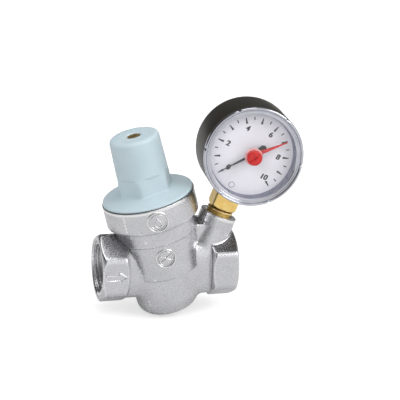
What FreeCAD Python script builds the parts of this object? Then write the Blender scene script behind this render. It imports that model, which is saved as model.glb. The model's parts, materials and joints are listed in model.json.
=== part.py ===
"""Pressure reducing valve with an inclined cartridge and a dial pressure gauge.

Units are millimetres and degrees. Origin: centre of the inlet port face.
+X is the flow direction, +Z is up and -Y is the front, which the dial faces.
Pieces are drawn in three local frames: the cartridge frame stands on the valve
axis, the stem frame on the rim of the gauge boss, and the dial frame on the dial.
"""
import FreeCAD, Part
import math
import os

Vec = FreeCAD.Vector
ORIGIN = Vec(0, 0, 0)
AXIS_X = Vec(1, 0, 0)
AXIS_Y = Vec(0, 1, 0)
AXIS_Z = Vec(0, 0, 1)

# ---- Driving dimensions: ports and pipe line ----
PORT_LENGTH = 68.0            # inlet face to outlet face
HEX_ACROSS_FLATS = 31.0
HEX_LENGTH = 13.0
HEX_FACE_INSET = 0.15         # turned end face stands this far inside the flats
PORT_WALL = 2.25              # from the flats in to the root of the G 3/4 thread
PORT_BORE_DEPTH = 11.0
NECK_INSET = 0.2              # the neck stands this far inside the flats
NECK_HALF_WIDTH = 11.4        # the neck is flattened at the front and the back
NECK_WALL = 3.1
PASSAGE_RADIUS = 6.5

# ---- Driving dimensions: valve body along the inclined valve axis ----
VALVE_X = 33.8                # valve axis crosses the pipe axis here
VALVE_LEAN = 14.2             # towards the inlet
SHIELD_BASE = -1.0
SHIELD_WALL = 3.8
MIDDLE_BASE = 17.7
MIDDLE_WALL = 3.3
TIER_DRAFT = 0.5              # each tier narrows this much downwards, and at its step
TIER_STEP = 0.4
CUP_BASE = 25.7
CUP_RADIUS = 22.8
CUP_WALL = 3.2
CUP_SHOULDER = 1.04
RIM_HEIGHT = 37.6
DIAPHRAGM_LEDGE = 27.0
DIAPHRAGM_LEDGE_WIDTH = 2.6
CARTRIDGE_LEDGE = 19.0
CARTRIDGE_BORE_RADIUS = 14.0
WEB_TOP = 1.5
WEB_THICKNESS = 4.0
SEAT_BORE_RADIUS = 9.0
BOWL_SHIFT = -2.1             # of the bowl's axis, along the pipe
BOWL_RADIUS = 15.6
BOWL_DEPTH = 22.7
BOWL_CORNER = 7.4
BOWL_WALL = 3.3

# ---- Driving dimensions: gauge boss ----
BOSS_FROM_OUTLET = 7.3        # boss rim centre, back from the outlet face
BOSS_HEIGHT = 25.4            # boss rim centre above the pipe axis
BOSS_LEAN = 21.3              # towards the outlet
BOSS_RADIUS = 9.15
BOSS_FLARE = 0.9
BOSS_LENGTH = 17.0
BOSS_BORE_RADIUS = 6.6
BOSS_BORE_DEPTH = 9.0
SENSING_RADIUS = 1.5
FAIRING_HALF_WIDTH = 7.0
FAIRING_TOP = 22.6

# ---- Driving dimensions: cover and adjuster ----
FLANGE_INSET = 0.4            # the flange stands this far inside the cup
FLANGE_EDGE = 1.1
FLANGE_RISE = 1.7
RIM_GAP = 0.3
SKIRT_WALL = 3.0
HEX_COVER_WALL = 1.2          # under each flat of the hexagon
HEX_COVER_HEIGHT = 9.4
HEX_COVER_CORNER = 2.6        # from the spring chamber out to the hexagon's corners
HEX_COVER_TURN = 15.0
TOWER_WALL_LOW = 1.9
TOWER_WALL_TOP = 1.4
COVER_TOP = 69.0
ROOF_THICKNESS = 3.0
SPRING_CHAMBER_RADIUS = 10.8
KEY_WIDTH = 2.4
KEY_DEPTH = 1.1
ADJUSTER_HOLE_RADIUS = 3.5
ADJUSTER_THREAD_RADIUS = 2.95
ADJUSTER_COLLAR_RADIUS = 6.0
ADJUSTER_COLLAR_THICKNESS = 3.0
ADJUSTER_TIP_GAP = 6.9        # above the stem when the valve is shut
ADJUSTER_SLOT_WIDTH = 1.2
ADJUSTER_SLOT_DEPTH = 1.5
SPRING_NUT_HEADROOM = 4.7     # below the adjuster's collar
SPRING_NUT_THICKNESS = 4.0
SPRING_WALL_GAP = 0.9         # between the spring and the chamber's wall
SPRING_WIRE_RADIUS = 1.3
SPRING_PITCH = 4.2

# ---- Driving dimensions: diaphragm and cartridge ----
DIAPHRAGM_BEAD = 2.0
DIAPHRAGM_WEB = 1.2
SLIP_RING_THICKNESS = 0.9
PLATE_INSET = 3.5             # the plates stand this far inside the outlet chamber
PLATE_THICKNESS = 1.8
STEM_RADIUS = 2.5
STEM_THREAD_RADIUS = 3.0
STEM_SHOULDER_RADIUS = 4.2
STEM_SHOULDER = 2.2
STEM_HOLE_RADIUS = 1.1
LOCK_NUT_ACROSS_FLATS = 10.0
LOCK_NUT_THICKNESS = 3.2
STEM_PROJECTION = 0.5         # beyond the lock nut
PLUG_NUT_WALL = 1.0
CARTRIDGE_FLANGE_THICKNESS = 1.8
CAGE_RADIUS = 11.2
CAGE_BORE_RADIUS = 8.6
CAGE_ROOF = 12.0
WINDOW_WIDTH = 8.0
WINDOW_COUNT = 4
SEAT_LIP_RADIUS = 6.0
SEAT_OPENING_RADIUS = 5.0
SEAT_FACE = -4.5
PLUG_RADIUS = 7.4
PLUG_THICKNESS = 3.0
PLUG_LIFT = 2.4               # travel from fully open to shut
SEAL_THICKNESS = 1.5
SEAL_SECTION = 0.9            # O-ring section radius
STRAINER_RADIUS = 12.3
STRAINER_WALL = 0.6
STRAINER_ROWS = 4
STRAINER_HOLES = 18
STRAINER_HOLE_RADIUS = 0.75

# ---- Driving dimensions: dial gauge ----
GAUGE_TURN = -5.6             # turned about its stem, towards the inlet
DIAL_FORWARD = 13.55          # dial face in front of the stem axis
CASE_RADIUS = 24.4
CASE_DEPTH = 20.0             # dial face back to the rear of the case
CASE_WALL = 1.5
CASE_LIP = 4.0                # front edge of the case, in front of the dial
BEZEL_FRONT = 6.0             # front edge of the bezel, in front of the dial
BEZEL_WIDTH = 3.2
LENS_BACK = 3.5
LENS_THICKNESS = 1.1
DISC_GAP = 0.6                # round the window and the dial
DIAL_THICKNESS = 0.5
DIAL_LEDGE_WIDTH = 2.2
DIAL_LEDGE_THICKNESS = 1.2
STEM_SQUARE = 12.3            # spanner flats of the gauge stem
STEM_SQUARE_BASE = 3.0
STEM_SQUARE_TOP = 10.6
CASE_STANDOFF = 0.4           # between the square and the case
STEM_THREAD_TOP_RADIUS = 6.5
STEM_NECK_RADIUS = 4.5
BLOCK_WIDTH = 12.0
BLOCK_DEPTH = 7.0
BLOCK_TOP = -8.0              # below the dial centre, inside the case
TUBE_INSET = 4.7              # centre line of the tube, inside the case
TUBE_HALF_WIDTH = 1.4
TUBE_HALF_HEIGHT = 3.6
TUBE_ROOT_INSET = 0.376       # the tube's root, inside the side of the block
TUBE_END = -50.0
BACK_PLATE_FACE = -8.8        # front face of the rear movement plate
FRONT_PLATE_FACE = -4.0
MOVEMENT_PLATE_THICKNESS = 0.8
GEAR_MODULE = 0.35
PINION_TEETH = 10
SECTOR_TEETH = 70             # teeth on the full circle of the sector
SECTOR_THICKNESS = 0.8
POINTER_SWEEP = 270.0
ARBOR_RADIUS = 0.6
LINK_PIN_RADIUS = 0.5
LINK_PIN_ARM = 3.5
POINTER_HALF_ROOT = 0.7       # half the blade's width at the hub
POINTER_HALF_TIP = 0.18
STOP_PIN_RADIUS = 0.35
STOP_PIN_GAP = 0.12
STOP_PIN_SHARE = 0.62         # of the pointer's length, from the hub
POINTER_INSET = 3.7           # the pointer's tip, inside the bezel
POINTER_PLANE = 1.2
POINTER_THICKNESS = 0.4
SET_POINTER_INSET = 3.2
SET_POINTER_PLANE = 2.7
SET_POINTER_THICKNESS = 0.4
SET_POINTER_READING = 7.0
FULL_SCALE = 10.0
KNOB_RADIUS = 3.7
KNOB_HEIGHT = 3.9
KNOB_SPINDLE_RADIUS = 1.3
KNOB_RING_RADIUS = 4.3
KNOB_RING_HEIGHT = 0.9

CASE_SCREW_X = (-3.6, 3.6)
CASE_SCREW_Y = -15.0
CASE_SCREW_RADIUS = 0.9
CASE_SCREW_HEAD = 1.7
CASE_SCREW_PROUD = 0.3
CASE_SCREW_SINK = 0.7         # depth of the head's recess
LINK_BASE = -6.1
LINK_THICKNESS = 0.6
PLATE_HALF_WIDTH = 7.6
PLATE_SHOULDER = 2.8          # where the plates narrow to their top edge
PLATE_CROWN = 5.6
PLATE_CROWN_HALF_WIDTH = 4.2
PLATE_TAIL_HALF_WIDTH = 3.2
PLATE_WAIST = -1.0
REAR_PLATE_MARGIN = 1.5       # below the sector's pivot
FRONT_PLATE_MARGIN = 2.2
PILLAR_SPREAD = 6.2           # either side of the arbor
PILLAR_RISE = 1.6
PILLAR_RADIUS = 1.1
FOOT_SPREAD = 4.5
FOOT_DROP = 2.0               # below the top of the stem's block
GEAR_BACKLASH = 0.09
SECTOR_FACE = -7.4
HAIRSPRING_TURNS = 4
HAIRSPRING_INNER = 1.1
HAIRSPRING_PITCH = 0.8
HAIRSPRING_WALL = 0.15
HAIRSPRING_WIDTH = 0.4
HAIRSPRING_BASE = -5.6

# ---- Driving dimensions: badges, arrow and seals ----
BADGE_TURN = -4.0
BADGE_PROUD = 0.45
BADGE_RIM = 0.6
CUP_BADGE_HEIGHT = 31.5
CUP_BADGE_RADIUS = 5.2
SHIELD_BADGE_HEIGHT = 10.6
SHIELD_BADGE_RADIUS = 5.0
ARROW_LENGTH = 9.0
ARROW_WIDTH = 4.4
ARROW_SHAFT = 1.9
ARROW_LINE = 0.45
ARROW_PROUD = 0.35
UPPER_SEAL_HEIGHT = 16.2
LOWER_SEAL_HEIGHT = -0.5
STEM_SEAL_HEIGHT = 17.5

# ---- Clearances ----
FIT = 0.1                     # between pieces of one body
RUNNING_FIT = 0.05            # radial, between a shaft and its hole
SIDE_GAP = 0.3                # between moving pieces that don't bear on each other
GROOVE_GAP = 0.1

# ---- Derived sizes ----
PORT_BORE_RADIUS = 0.5 * HEX_ACROSS_FLATS - PORT_WALL
NECK_RADIUS = 0.5 * HEX_ACROSS_FLATS - NECK_INSET
PASSAGE_OFFSET = NECK_RADIUS - NECK_WALL - PASSAGE_RADIUS
CUP_BORE_RADIUS = CUP_RADIUS - CUP_WALL
OUTLET_CHAMBER_RADIUS = CUP_BORE_RADIUS - DIAPHRAGM_LEDGE_WIDTH
PLATE_RADIUS = OUTLET_CHAMBER_RADIUS - PLATE_INSET
MIDDLE_RADIUS_TOP = OUTLET_CHAMBER_RADIUS + MIDDLE_WALL
MIDDLE_RADIUS_LOW = MIDDLE_RADIUS_TOP - TIER_DRAFT
SHIELD_RADIUS_TOP = MIDDLE_RADIUS_LOW - TIER_DRAFT
SHIELD_RADIUS_LOW = CARTRIDGE_BORE_RADIUS + SHIELD_WALL
FLANGE_RADIUS = CUP_RADIUS - FLANGE_INSET
HEX_COVER_ACROSS_FLATS = 2 * (SPRING_CHAMBER_RADIUS + HEX_COVER_WALL)
HEX_COVER_CORNER_RADIUS = SPRING_CHAMBER_RADIUS + HEX_COVER_CORNER
TOWER_RADIUS_LOW = SPRING_CHAMBER_RADIUS + TOWER_WALL_LOW
TOWER_RADIUS_TOP = SPRING_CHAMBER_RADIUS + TOWER_WALL_TOP
SPRING_MEAN_RADIUS = SPRING_CHAMBER_RADIUS - SPRING_WALL_GAP - SPRING_WIRE_RADIUS
GAUGE_RISE = STEM_SQUARE_TOP + CASE_STANDOFF + CASE_RADIUS
BEZEL_INNER_RADIUS = CASE_RADIUS - BEZEL_WIDTH
POINTER_LENGTH = BEZEL_INNER_RADIUS - POINTER_INSET
SET_POINTER_LENGTH = BEZEL_INNER_RADIUS - SET_POINTER_INSET
SEAT_WEB_BASE = WEB_TOP - WEB_THICKNESS
COVER_SEAT = RIM_HEIGHT + RIM_GAP
FLANGE_TOP = COVER_SEAT + FLANGE_EDGE
HEX_COVER_BASE = FLANGE_TOP + FLANGE_RISE
SKIRT_RADIUS = CUP_BORE_RADIUS - FIT
SKIRT_BASE = DIAPHRAGM_LEDGE + DIAPHRAGM_BEAD + SLIP_RING_THICKNESS
WEB_BASE = DIAPHRAGM_LEDGE + 0.5 * (DIAPHRAGM_BEAD - DIAPHRAGM_WEB) + 0.6
WEB_CROWN = WEB_BASE + DIAPHRAGM_WEB
LOWER_PLATE_BASE = WEB_BASE - PLATE_THICKNESS
UPPER_PLATE_TOP = WEB_CROWN + PLATE_THICKNESS
ROOF_UNDERSIDE = COVER_TOP - ROOF_THICKNESS
COLLAR_TOP = ROOF_UNDERSIDE - SIDE_GAP
COLLAR_BASE = COLLAR_TOP - ADJUSTER_COLLAR_THICKNESS
SPRING_NUT_BASE = COLLAR_BASE - SPRING_NUT_HEADROOM - SPRING_NUT_THICKNESS
STEM_TOP = UPPER_PLATE_TOP + LOCK_NUT_THICKNESS + STEM_PROJECTION
ADJUSTER_TIP = STEM_TOP + PLUG_LIFT + ADJUSTER_TIP_GAP
GASKET_TOP = SEAT_FACE - PLUG_LIFT - SIDE_GAP
PLUG_TOP = GASKET_TOP
PLUG_BASE = PLUG_TOP - PLUG_THICKNESS
SECTOR_RADIUS = 0.5 * GEAR_MODULE * SECTOR_TEETH
PINION_RADIUS = 0.5 * GEAR_MODULE * PINION_TEETH
SECTOR_PIVOT_Y = -(SECTOR_RADIUS + PINION_RADIUS)
SECTOR_SWEEP = POINTER_SWEEP * PINION_TEETH / SECTOR_TEETH
PLATE_TOP = [
    (PLATE_HALF_WIDTH, PLATE_SHOULDER),
    (PLATE_CROWN_HALF_WIDTH, PLATE_CROWN),
    (-PLATE_CROWN_HALF_WIDTH, PLATE_CROWN),
    (-PLATE_HALF_WIDTH, PLATE_SHOULDER),
]
CASE_BORE_RADIUS = CASE_RADIUS - CASE_WALL
TUBE_LOOP_RADIUS = CASE_BORE_RADIUS - TUBE_INSET
TUBE_START = -90 - math.degrees(math.asin((0.5 * BLOCK_WIDTH - TUBE_ROOT_INSET) / TUBE_LOOP_RADIUS))
LENS_FRONT = LENS_BACK + LENS_THICKNESS
SPRING_BASE = UPPER_PLATE_TOP + SIDE_GAP
SPRING_TOP = SPRING_NUT_BASE - SIDE_GAP
SPRING_TURNS = int((SPRING_TOP - SPRING_BASE) / SPRING_PITCH)


# ---- Placing ----
def on_valve(shape):
    """Move a shape from the cartridge frame onto the valve axis."""
    shape.rotate(ORIGIN, AXIS_Y, -VALVE_LEAN)
    shape.translate(Vec(VALVE_X, 0, 0))
    return shape


def on_boss(shape):
    """Move a shape from the boss frame, whose origin is the rim centre."""
    shape.rotate(ORIGIN, AXIS_Y, BOSS_LEAN)
    shape.translate(Vec(PORT_LENGTH - BOSS_FROM_OUTLET, 0, BOSS_HEIGHT))
    return shape


def on_stem(shape):
    """Move a shape from the stem frame, which turns with the gauge."""
    shape.rotate(ORIGIN, AXIS_Z, GAUGE_TURN)
    return on_boss(shape)


def on_dial(shape):
    """Move a shape from the dial frame: X right, Y up the stem, Z to the front."""
    shape.rotate(ORIGIN, AXIS_X, 90)
    shape.translate(Vec(0, -DIAL_FORWARD, GAUGE_RISE))
    return on_stem(shape)


# ---- Basic shapes ----
def rod(radius, low, high, x=0.0, y=0.0):
    """A cylinder along Z."""
    return Part.makeCylinder(radius, high - low, Vec(x, y, low))


def tube(inner, outer, low, high):
    """A plain ring along Z."""
    return rod(outer, low, high).cut(rod(inner, low - 1, high + 1))


def cone(radius_low, radius_high, low, high):
    """A truncated cone along Z."""
    return Part.makeCone(radius_low, radius_high, high - low, Vec(0, 0, low))


def block(x_low, x_high, y_low, y_high, z_low, z_high):
    """A box from its two corners."""
    corner = Vec(x_low, y_low, z_low)
    return Part.makeBox(x_high - x_low, y_high - y_low, z_high - z_low, corner)


def outline(points):
    """A closed wire in the XZ plane from (r, z) or (r, z, corner radius) points."""
    corners = [Vec(p[0], 0, p[1]) for p in points]
    radii = [p[2] if len(p) > 2 else 0.0 for p in points]
    count = len(points)
    edges = []
    ends = []
    for i in range(count):
        here = corners[i]
        if radii[i] <= 0:
            ends.append((here, here))
            continue
        back = (corners[i - 1] - here).normalize()
        ahead = (corners[(i + 1) % count] - here).normalize()
        half = back.getAngle(ahead) / 2
        run = radii[i] / math.tan(half)
        bisector = (back + ahead).normalize()
        middle = here + bisector * (radii[i] / math.sin(half) - radii[i])
        start = here + back * run
        finish = here + ahead * run
        edges.append((i, Part.Arc(start, middle, finish).toShape()))
        ends.append((start, finish))
    arcs = dict(edges)
    wire = []
    for i in range(count):
        if i in arcs:
            wire.append(arcs[i])
        start = ends[i][1]
        finish = ends[(i + 1) % count][0]
        if start.distanceToPoint(finish) > 1e-6:
            wire.append(Part.LineSegment(start, finish).toShape())
    return Part.Wire(wire)


def turned(points):
    """A solid of revolution about Z from an outline in the XZ plane."""
    return Part.Face(outline(points)).revolve(ORIGIN, AXIS_Z, 360)


def polygon_prism(points, low, high):
    """A prism along Z from a list of (x, y) points."""
    loop = [Vec(x, y, low) for x, y in points]
    face = Part.Face(Part.makePolygon(loop + [loop[0]]))
    return face.extrude(Vec(0, 0, high - low))


def regular_prism(sides, across_flats, low, high, turn=0.0):
    """A prism with equal flats, with one corner at the given turn from +X."""
    radius = 0.5 * across_flats / math.cos(math.pi / sides)
    angles = [math.radians(turn) + 2 * math.pi * i / sides for i in range(sides)]
    return polygon_prism([(radius * math.cos(a), radius * math.sin(a)) for a in angles], low, high)


def o_ring(radius, height):
    """An O-ring about Z, by its section's centre."""
    return Part.makeTorus(radius, SEAL_SECTION, Vec(0, 0, height))


def around(shape, count):
    """Copies of a shape spaced evenly about Z."""
    copies = []
    for i in range(count):
        copy = shape.copy()
        copy.rotate(ORIGIN, AXIS_Z, 360.0 * i / count)
        copies.append(copy)
    return copies


# ---- Valve body ----
def along_pipe(shape):
    """Turn a shape drawn along Z so that it runs along the pipe axis."""
    shape.rotate(ORIGIN, AXIS_Y, 90)
    return shape


def port_hexagon():
    """One hexagon with turned ends, drawn along Z, its outer face at the origin."""
    flat_radius = 0.5 * HEX_ACROSS_FLATS
    corner_radius = flat_radius / math.cos(math.pi / 6)
    face_radius = flat_radius - HEX_FACE_INSET
    chamfer = (corner_radius - face_radius) * math.tan(math.radians(30))
    turning = turned([
        (0, 0),
        (face_radius, 0),
        (corner_radius, chamfer),
        (corner_radius, HEX_LENGTH - chamfer),
        (face_radius, HEX_LENGTH),
        (0, HEX_LENGTH),
    ])
    return regular_prism(6, HEX_ACROSS_FLATS, 0, HEX_LENGTH).common(turning)


def tier_stack():
    """The three stepped tiers on the valve axis."""
    return turned([
        (0, SHIELD_BASE),
        (SHIELD_RADIUS_LOW, SHIELD_BASE, 1.2),
        (SHIELD_RADIUS_TOP, MIDDLE_BASE, 0.4),
        (MIDDLE_RADIUS_LOW, MIDDLE_BASE + TIER_STEP, 0.4),
        (MIDDLE_RADIUS_TOP, CUP_BASE - TIER_STEP, 0.4),
        (CUP_RADIUS, CUP_BASE + TIER_STEP, CUP_SHOULDER),
        (CUP_RADIUS, RIM_HEIGHT, 0.3),
        (0, RIM_HEIGHT),
    ])


def on_bowl(shape):
    """Move a shape from its own frame onto the bowl's axis."""
    on_valve(shape)
    shape.translate(Vec(BOWL_SHIFT, 0, 0))
    return shape


def bowl(radius, depth, corner):
    """The round bottom of the body, leaned with the valve."""
    return on_bowl(turned([(0, -depth), (radius, -depth, corner), (radius, 0), (0, 0)]))


def gauge_boss():
    """The inclined boss, with its flare, down to the pipe axis level."""
    straight = 0.35 * BOSS_LENGTH
    return turned([
        (0, -BOSS_LENGTH),
        (BOSS_RADIUS + BOSS_FLARE, -BOSS_LENGTH),
        (BOSS_RADIUS, -straight),
        (BOSS_RADIUS, 0, 0.3),
        (0, 0),
    ])


def boss_fairing():
    """The block that joins the tiers to the boss."""
    boss_x = PORT_LENGTH - BOSS_FROM_OUTLET
    drop = BOSS_HEIGHT - FAIRING_TOP
    right = boss_x - drop * math.tan(math.radians(BOSS_LEAN)) - 0.3 * BOSS_RADIUS
    return block(VALVE_X, right, -FAIRING_HALF_WIDTH, FAIRING_HALF_WIDTH, 0, FAIRING_TOP)


def shield_radius(height):
    """Radius of the lowest tier at a height on the valve axis."""
    share = (height - SHIELD_BASE) / (MIDDLE_BASE - SHIELD_BASE)
    return SHIELD_RADIUS_LOW + share * (SHIELD_RADIUS_TOP - SHIELD_RADIUS_LOW)


def badge(height, radius, disc_radius):
    """A plain raised disc with a rim on the front of a tier."""
    disc = rod(disc_radius, 0, radius + BADGE_PROUD)
    inner = rod(disc_radius - BADGE_RIM, radius + 0.5 * BADGE_PROUD, radius + 2 * BADGE_PROUD)
    disc = disc.cut(inner)
    disc.rotate(ORIGIN, AXIS_X, 90)
    disc.rotate(ORIGIN, AXIS_Z, BADGE_TURN)
    disc.translate(Vec(0, 0, height))
    return disc


def arrow_points(length, width, shaft, inset):
    """An arrow that points to +X, shrunk inwards by an inset."""
    head = length - 0.9 * width
    slope = inset * 1.6
    return [
        (inset, 0.5 * shaft - inset),
        (head + inset, 0.5 * shaft - inset),
        (head + inset, 0.5 * width - slope),
        (length - slope, 0),
        (head + inset, slope - 0.5 * width),
        (head + inset, inset - 0.5 * shaft),
        (inset, inset - 0.5 * shaft),
    ]


def flow_arrow():
    """The raised outline arrow on the front flat of the inlet hexagon."""
    face = 0.5 * HEX_ACROSS_FLATS
    outer = arrow_points(ARROW_LENGTH, ARROW_WIDTH, ARROW_SHAFT, 0.0)
    inner = arrow_points(ARROW_LENGTH, ARROW_WIDTH, ARROW_SHAFT, ARROW_LINE)
    base = -FIT
    shape = polygon_prism(outer, base, ARROW_PROUD).cut(polygon_prism(inner, base - 1, 1))
    shape.rotate(ORIGIN, AXIS_X, 90)
    shape.translate(Vec(0.5 * (HEX_LENGTH - ARROW_LENGTH), -face, 0))
    return shape


def port_bore():
    """One threaded port's cavity, drawn along Z from its face."""
    return turned([
        (0, -1),
        (PORT_BORE_RADIUS, -1),
        (PORT_BORE_RADIUS, PORT_BORE_DEPTH),
        (0, PORT_BORE_DEPTH + 3),
    ])


def cartridge_cavity():
    """The stepped bore on the valve axis, from the cup down through the seat."""
    return turned([
        (0, SEAT_WEB_BASE - 1),
        (SEAT_BORE_RADIUS, SEAT_WEB_BASE - 1),
        (SEAT_BORE_RADIUS, WEB_TOP),
        (CARTRIDGE_BORE_RADIUS, WEB_TOP),
        (CARTRIDGE_BORE_RADIUS, CARTRIDGE_LEDGE),
        (OUTLET_CHAMBER_RADIUS, CARTRIDGE_LEDGE),
        (OUTLET_CHAMBER_RADIUS, DIAPHRAGM_LEDGE),
        (CUP_BORE_RADIUS, DIAPHRAGM_LEDGE),
        (CUP_BORE_RADIUS, RIM_HEIGHT + 1),
        (0, RIM_HEIGHT + 1),
    ])


def lower_chamber():
    """The room below the seat, cut off by the underside of the web."""
    inner_radius = BOWL_RADIUS - BOWL_WALL
    room = turned([
        (0, -BOWL_DEPTH + BOWL_WALL),
        (inner_radius, -BOWL_DEPTH + BOWL_WALL, BOWL_CORNER - BOWL_WALL),
        (inner_radius, NECK_RADIUS),
        (0, NECK_RADIUS),
    ])
    room = on_bowl(room)
    reach = 2 * PORT_LENGTH
    below = on_valve(block(-reach, reach, -reach, reach, -reach, SEAT_WEB_BASE))
    return room.common(below)


def valve_body():
    """The cast body with its ports, tiers, bowl, boss and all its cavities."""
    inlet_hex = along_pipe(port_hexagon())
    outlet_hex = along_pipe(port_hexagon())
    outlet_hex.rotate(ORIGIN, AXIS_Z, 180)
    outlet_hex.translate(Vec(PORT_LENGTH, 0, 0))
    neck = along_pipe(rod(NECK_RADIUS, HEX_LENGTH - 0.5, PORT_LENGTH - HEX_LENGTH + 0.5))
    waist = block(0, PORT_LENGTH, -NECK_HALF_WIDTH, NECK_HALF_WIDTH, -NECK_RADIUS, NECK_RADIUS)
    outer = neck.common(waist).multiFuse([
        inlet_hex,
        outlet_hex,
        bowl(BOWL_RADIUS, BOWL_DEPTH, BOWL_CORNER),
        on_valve(tier_stack()),
        on_boss(gauge_boss()),
        boss_fairing(),
        on_valve(badge(CUP_BADGE_HEIGHT, CUP_RADIUS, CUP_BADGE_RADIUS)),
        on_valve(badge(SHIELD_BADGE_HEIGHT, shield_radius(SHIELD_BADGE_HEIGHT), SHIELD_BADGE_RADIUS)),
        flow_arrow(),
    ])
    inlet_bore = along_pipe(port_bore())
    outlet_bore = along_pipe(port_bore())
    outlet_bore.rotate(ORIGIN, AXIS_Z, 180)
    outlet_bore.translate(Vec(PORT_LENGTH, 0, 0))
    inlet_end = VALVE_X - 0.9 * CARTRIDGE_BORE_RADIUS
    inlet_passage = along_pipe(rod(PASSAGE_RADIUS, PORT_BORE_DEPTH - 1, inlet_end))
    inlet_passage.translate(Vec(0, 0, PASSAGE_OFFSET))
    outlet_start = VALVE_X + 0.8 * (BOWL_RADIUS - BOWL_WALL)
    outlet_passage = along_pipe(rod(PASSAGE_RADIUS, outlet_start, PORT_LENGTH - PORT_BORE_DEPTH + 1))
    outlet_passage.translate(Vec(0, 0, -PASSAGE_OFFSET))
    boss_bore = on_boss(rod(BOSS_BORE_RADIUS, -BOSS_BORE_DEPTH, 1))
    boss_mouth = on_boss(cone(BOSS_BORE_RADIUS, BOSS_BORE_RADIUS + 1.2, -0.6, 0.6))
    sensing_depth = BOSS_HEIGHT / math.cos(math.radians(BOSS_LEAN))
    sensing_hole = on_boss(rod(SENSING_RADIUS, -sensing_depth, 0))
    cavities = [
        inlet_bore,
        outlet_bore,
        inlet_passage,
        outlet_passage,
        on_valve(cartridge_cavity()),
        lower_chamber(),
        boss_bore,
        boss_mouth,
        sensing_hole,
    ]
    body = outer
    for cavity in cavities:
        body = body.cut(cavity)
    return body.removeSplitter()


# ---- Cartridge ----
def seal_groove(radius, height):
    """A groove for an O-ring in the outside of a round piece."""
    depth = 2 * SEAL_SECTION + GROOVE_GAP
    half = SEAL_SECTION + GROOVE_GAP
    return tube(radius - depth, radius + 2, height - half, height + half)


def outer_seal_radius(bore_radius):
    """Centre radius of an O-ring that lies just inside a bore."""
    return bore_radius - SEAL_SECTION - 0.5 * GROOVE_GAP


def cartridge_body():
    """The cartridge: seat, windowed cage, stem guide and flange."""
    guide_radius = CARTRIDGE_BORE_RADIUS - FIT
    seat_radius = SEAT_BORE_RADIUS - FIT
    flange_radius = OUTLET_CHAMBER_RADIUS - FIT
    flange_top = CARTRIDGE_LEDGE + CARTRIDGE_FLANGE_THICKNESS
    stem_hole = STEM_RADIUS + RUNNING_FIT
    guide_base = CAGE_ROOF + 1.5
    shape = turned([
        (SEAT_OPENING_RADIUS, SEAT_FACE),
        (SEAT_LIP_RADIUS, SEAT_FACE),
        (seat_radius, SEAT_FACE + 1.5),
        (seat_radius, WEB_TOP),
        (CAGE_RADIUS, WEB_TOP),
        (CAGE_RADIUS, guide_base),
        (guide_radius, guide_base),
        (guide_radius, CARTRIDGE_LEDGE),
        (flange_radius, CARTRIDGE_LEDGE),
        (flange_radius, flange_top),
        (stem_hole, flange_top),
        (stem_hole, CAGE_ROOF),
        (CAGE_BORE_RADIUS, CAGE_ROOF),
        (CAGE_BORE_RADIUS, WEB_TOP + 1),
        (SEAT_OPENING_RADIUS, WEB_TOP),
    ])
    half_window = 0.5 * WINDOW_WIDTH
    window = block(0, 2 * CAGE_RADIUS, -half_window, half_window, WEB_TOP + 2, CAGE_ROOF - 1)
    for opening in around(window, WINDOW_COUNT):
        shape = shape.cut(opening)
    shape = shape.cut(seal_groove(guide_radius, UPPER_SEAL_HEIGHT))
    shape = shape.cut(seal_groove(seat_radius, LOWER_SEAL_HEIGHT))
    stem_groove = stem_hole + 2 * SEAL_SECTION + GROOVE_GAP
    half = SEAL_SECTION + GROOVE_GAP
    return shape.cut(rod(stem_groove, STEM_SEAL_HEIGHT - half, STEM_SEAL_HEIGHT + half))


def strainer():
    """The perforated sleeve round the cage, with a rim at each end."""
    top = CAGE_ROOF + 1.3
    inner = STRAINER_RADIUS - STRAINER_WALL
    rim_inner = CAGE_RADIUS + FIT
    sleeve = tube(inner, STRAINER_RADIUS, WEB_TOP, top)
    lower_rim = tube(rim_inner, inner + FIT, WEB_TOP, WEB_TOP + 1)
    upper_rim = tube(rim_inner, inner + FIT, top - 1, top)
    sleeve = sleeve.fuse(lower_rim).fuse(upper_rim).removeSplitter()
    pitch = (top - WEB_TOP - 2) / STRAINER_ROWS
    drills = []
    for row in range(STRAINER_ROWS):
        height = WEB_TOP + 1 + pitch * (row + 0.5)
        drill = Part.makeCylinder(STRAINER_HOLE_RADIUS, 4, Vec(inner - 2, 0, height), AXIS_X)
        drill.rotate(ORIGIN, AXIS_Z, (row % 2) * 180.0 / STRAINER_HOLES)
        drills.extend(around(drill, STRAINER_HOLES))
    return sleeve.cut(Part.makeCompound(drills))


def valve_stem():
    """The hollow stem that joins the diaphragm to the plug."""
    shoulder_base = LOWER_PLATE_BASE - STEM_SHOULDER
    top = STEM_TOP
    tip = PLUG_BASE - 2.6
    shape = turned([
        (0, tip),
        (STEM_RADIUS, tip),
        (STEM_RADIUS, shoulder_base),
        (STEM_SHOULDER_RADIUS, shoulder_base),
        (STEM_SHOULDER_RADIUS, LOWER_PLATE_BASE),
        (STEM_THREAD_RADIUS, LOWER_PLATE_BASE),
        (STEM_THREAD_RADIUS, top, 0.5),
        (0, top),
    ])
    shape = shape.cut(rod(STEM_HOLE_RADIUS, tip - 1, shoulder_base + 1))
    side = Vec(-2 * STEM_RADIUS, 0, shoulder_base - 1.2)
    port = Part.makeCylinder(0.8, 4 * STEM_RADIUS, side, AXIS_X)
    return shape.cut(port)


def plug_seal_radii():
    """Inner and outer radius of the plug's seal."""
    return SEAT_OPENING_RADIUS - 1.4, PLUG_RADIUS - 0.7


def valve_plug():
    """The plug below the seat, with a recess for its seal."""
    hole = STEM_RADIUS + 0.02
    shape = turned([
        (hole, PLUG_BASE),
        (PLUG_RADIUS, PLUG_BASE, 0.6),
        (PLUG_RADIUS, PLUG_TOP - 0.3, 0.2),
        (hole, PLUG_TOP - 0.3),
    ])
    inner, outer = plug_seal_radii()
    return shape.cut(tube(inner, outer, PLUG_TOP - SEAL_THICKNESS, PLUG_TOP + 1))


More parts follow.
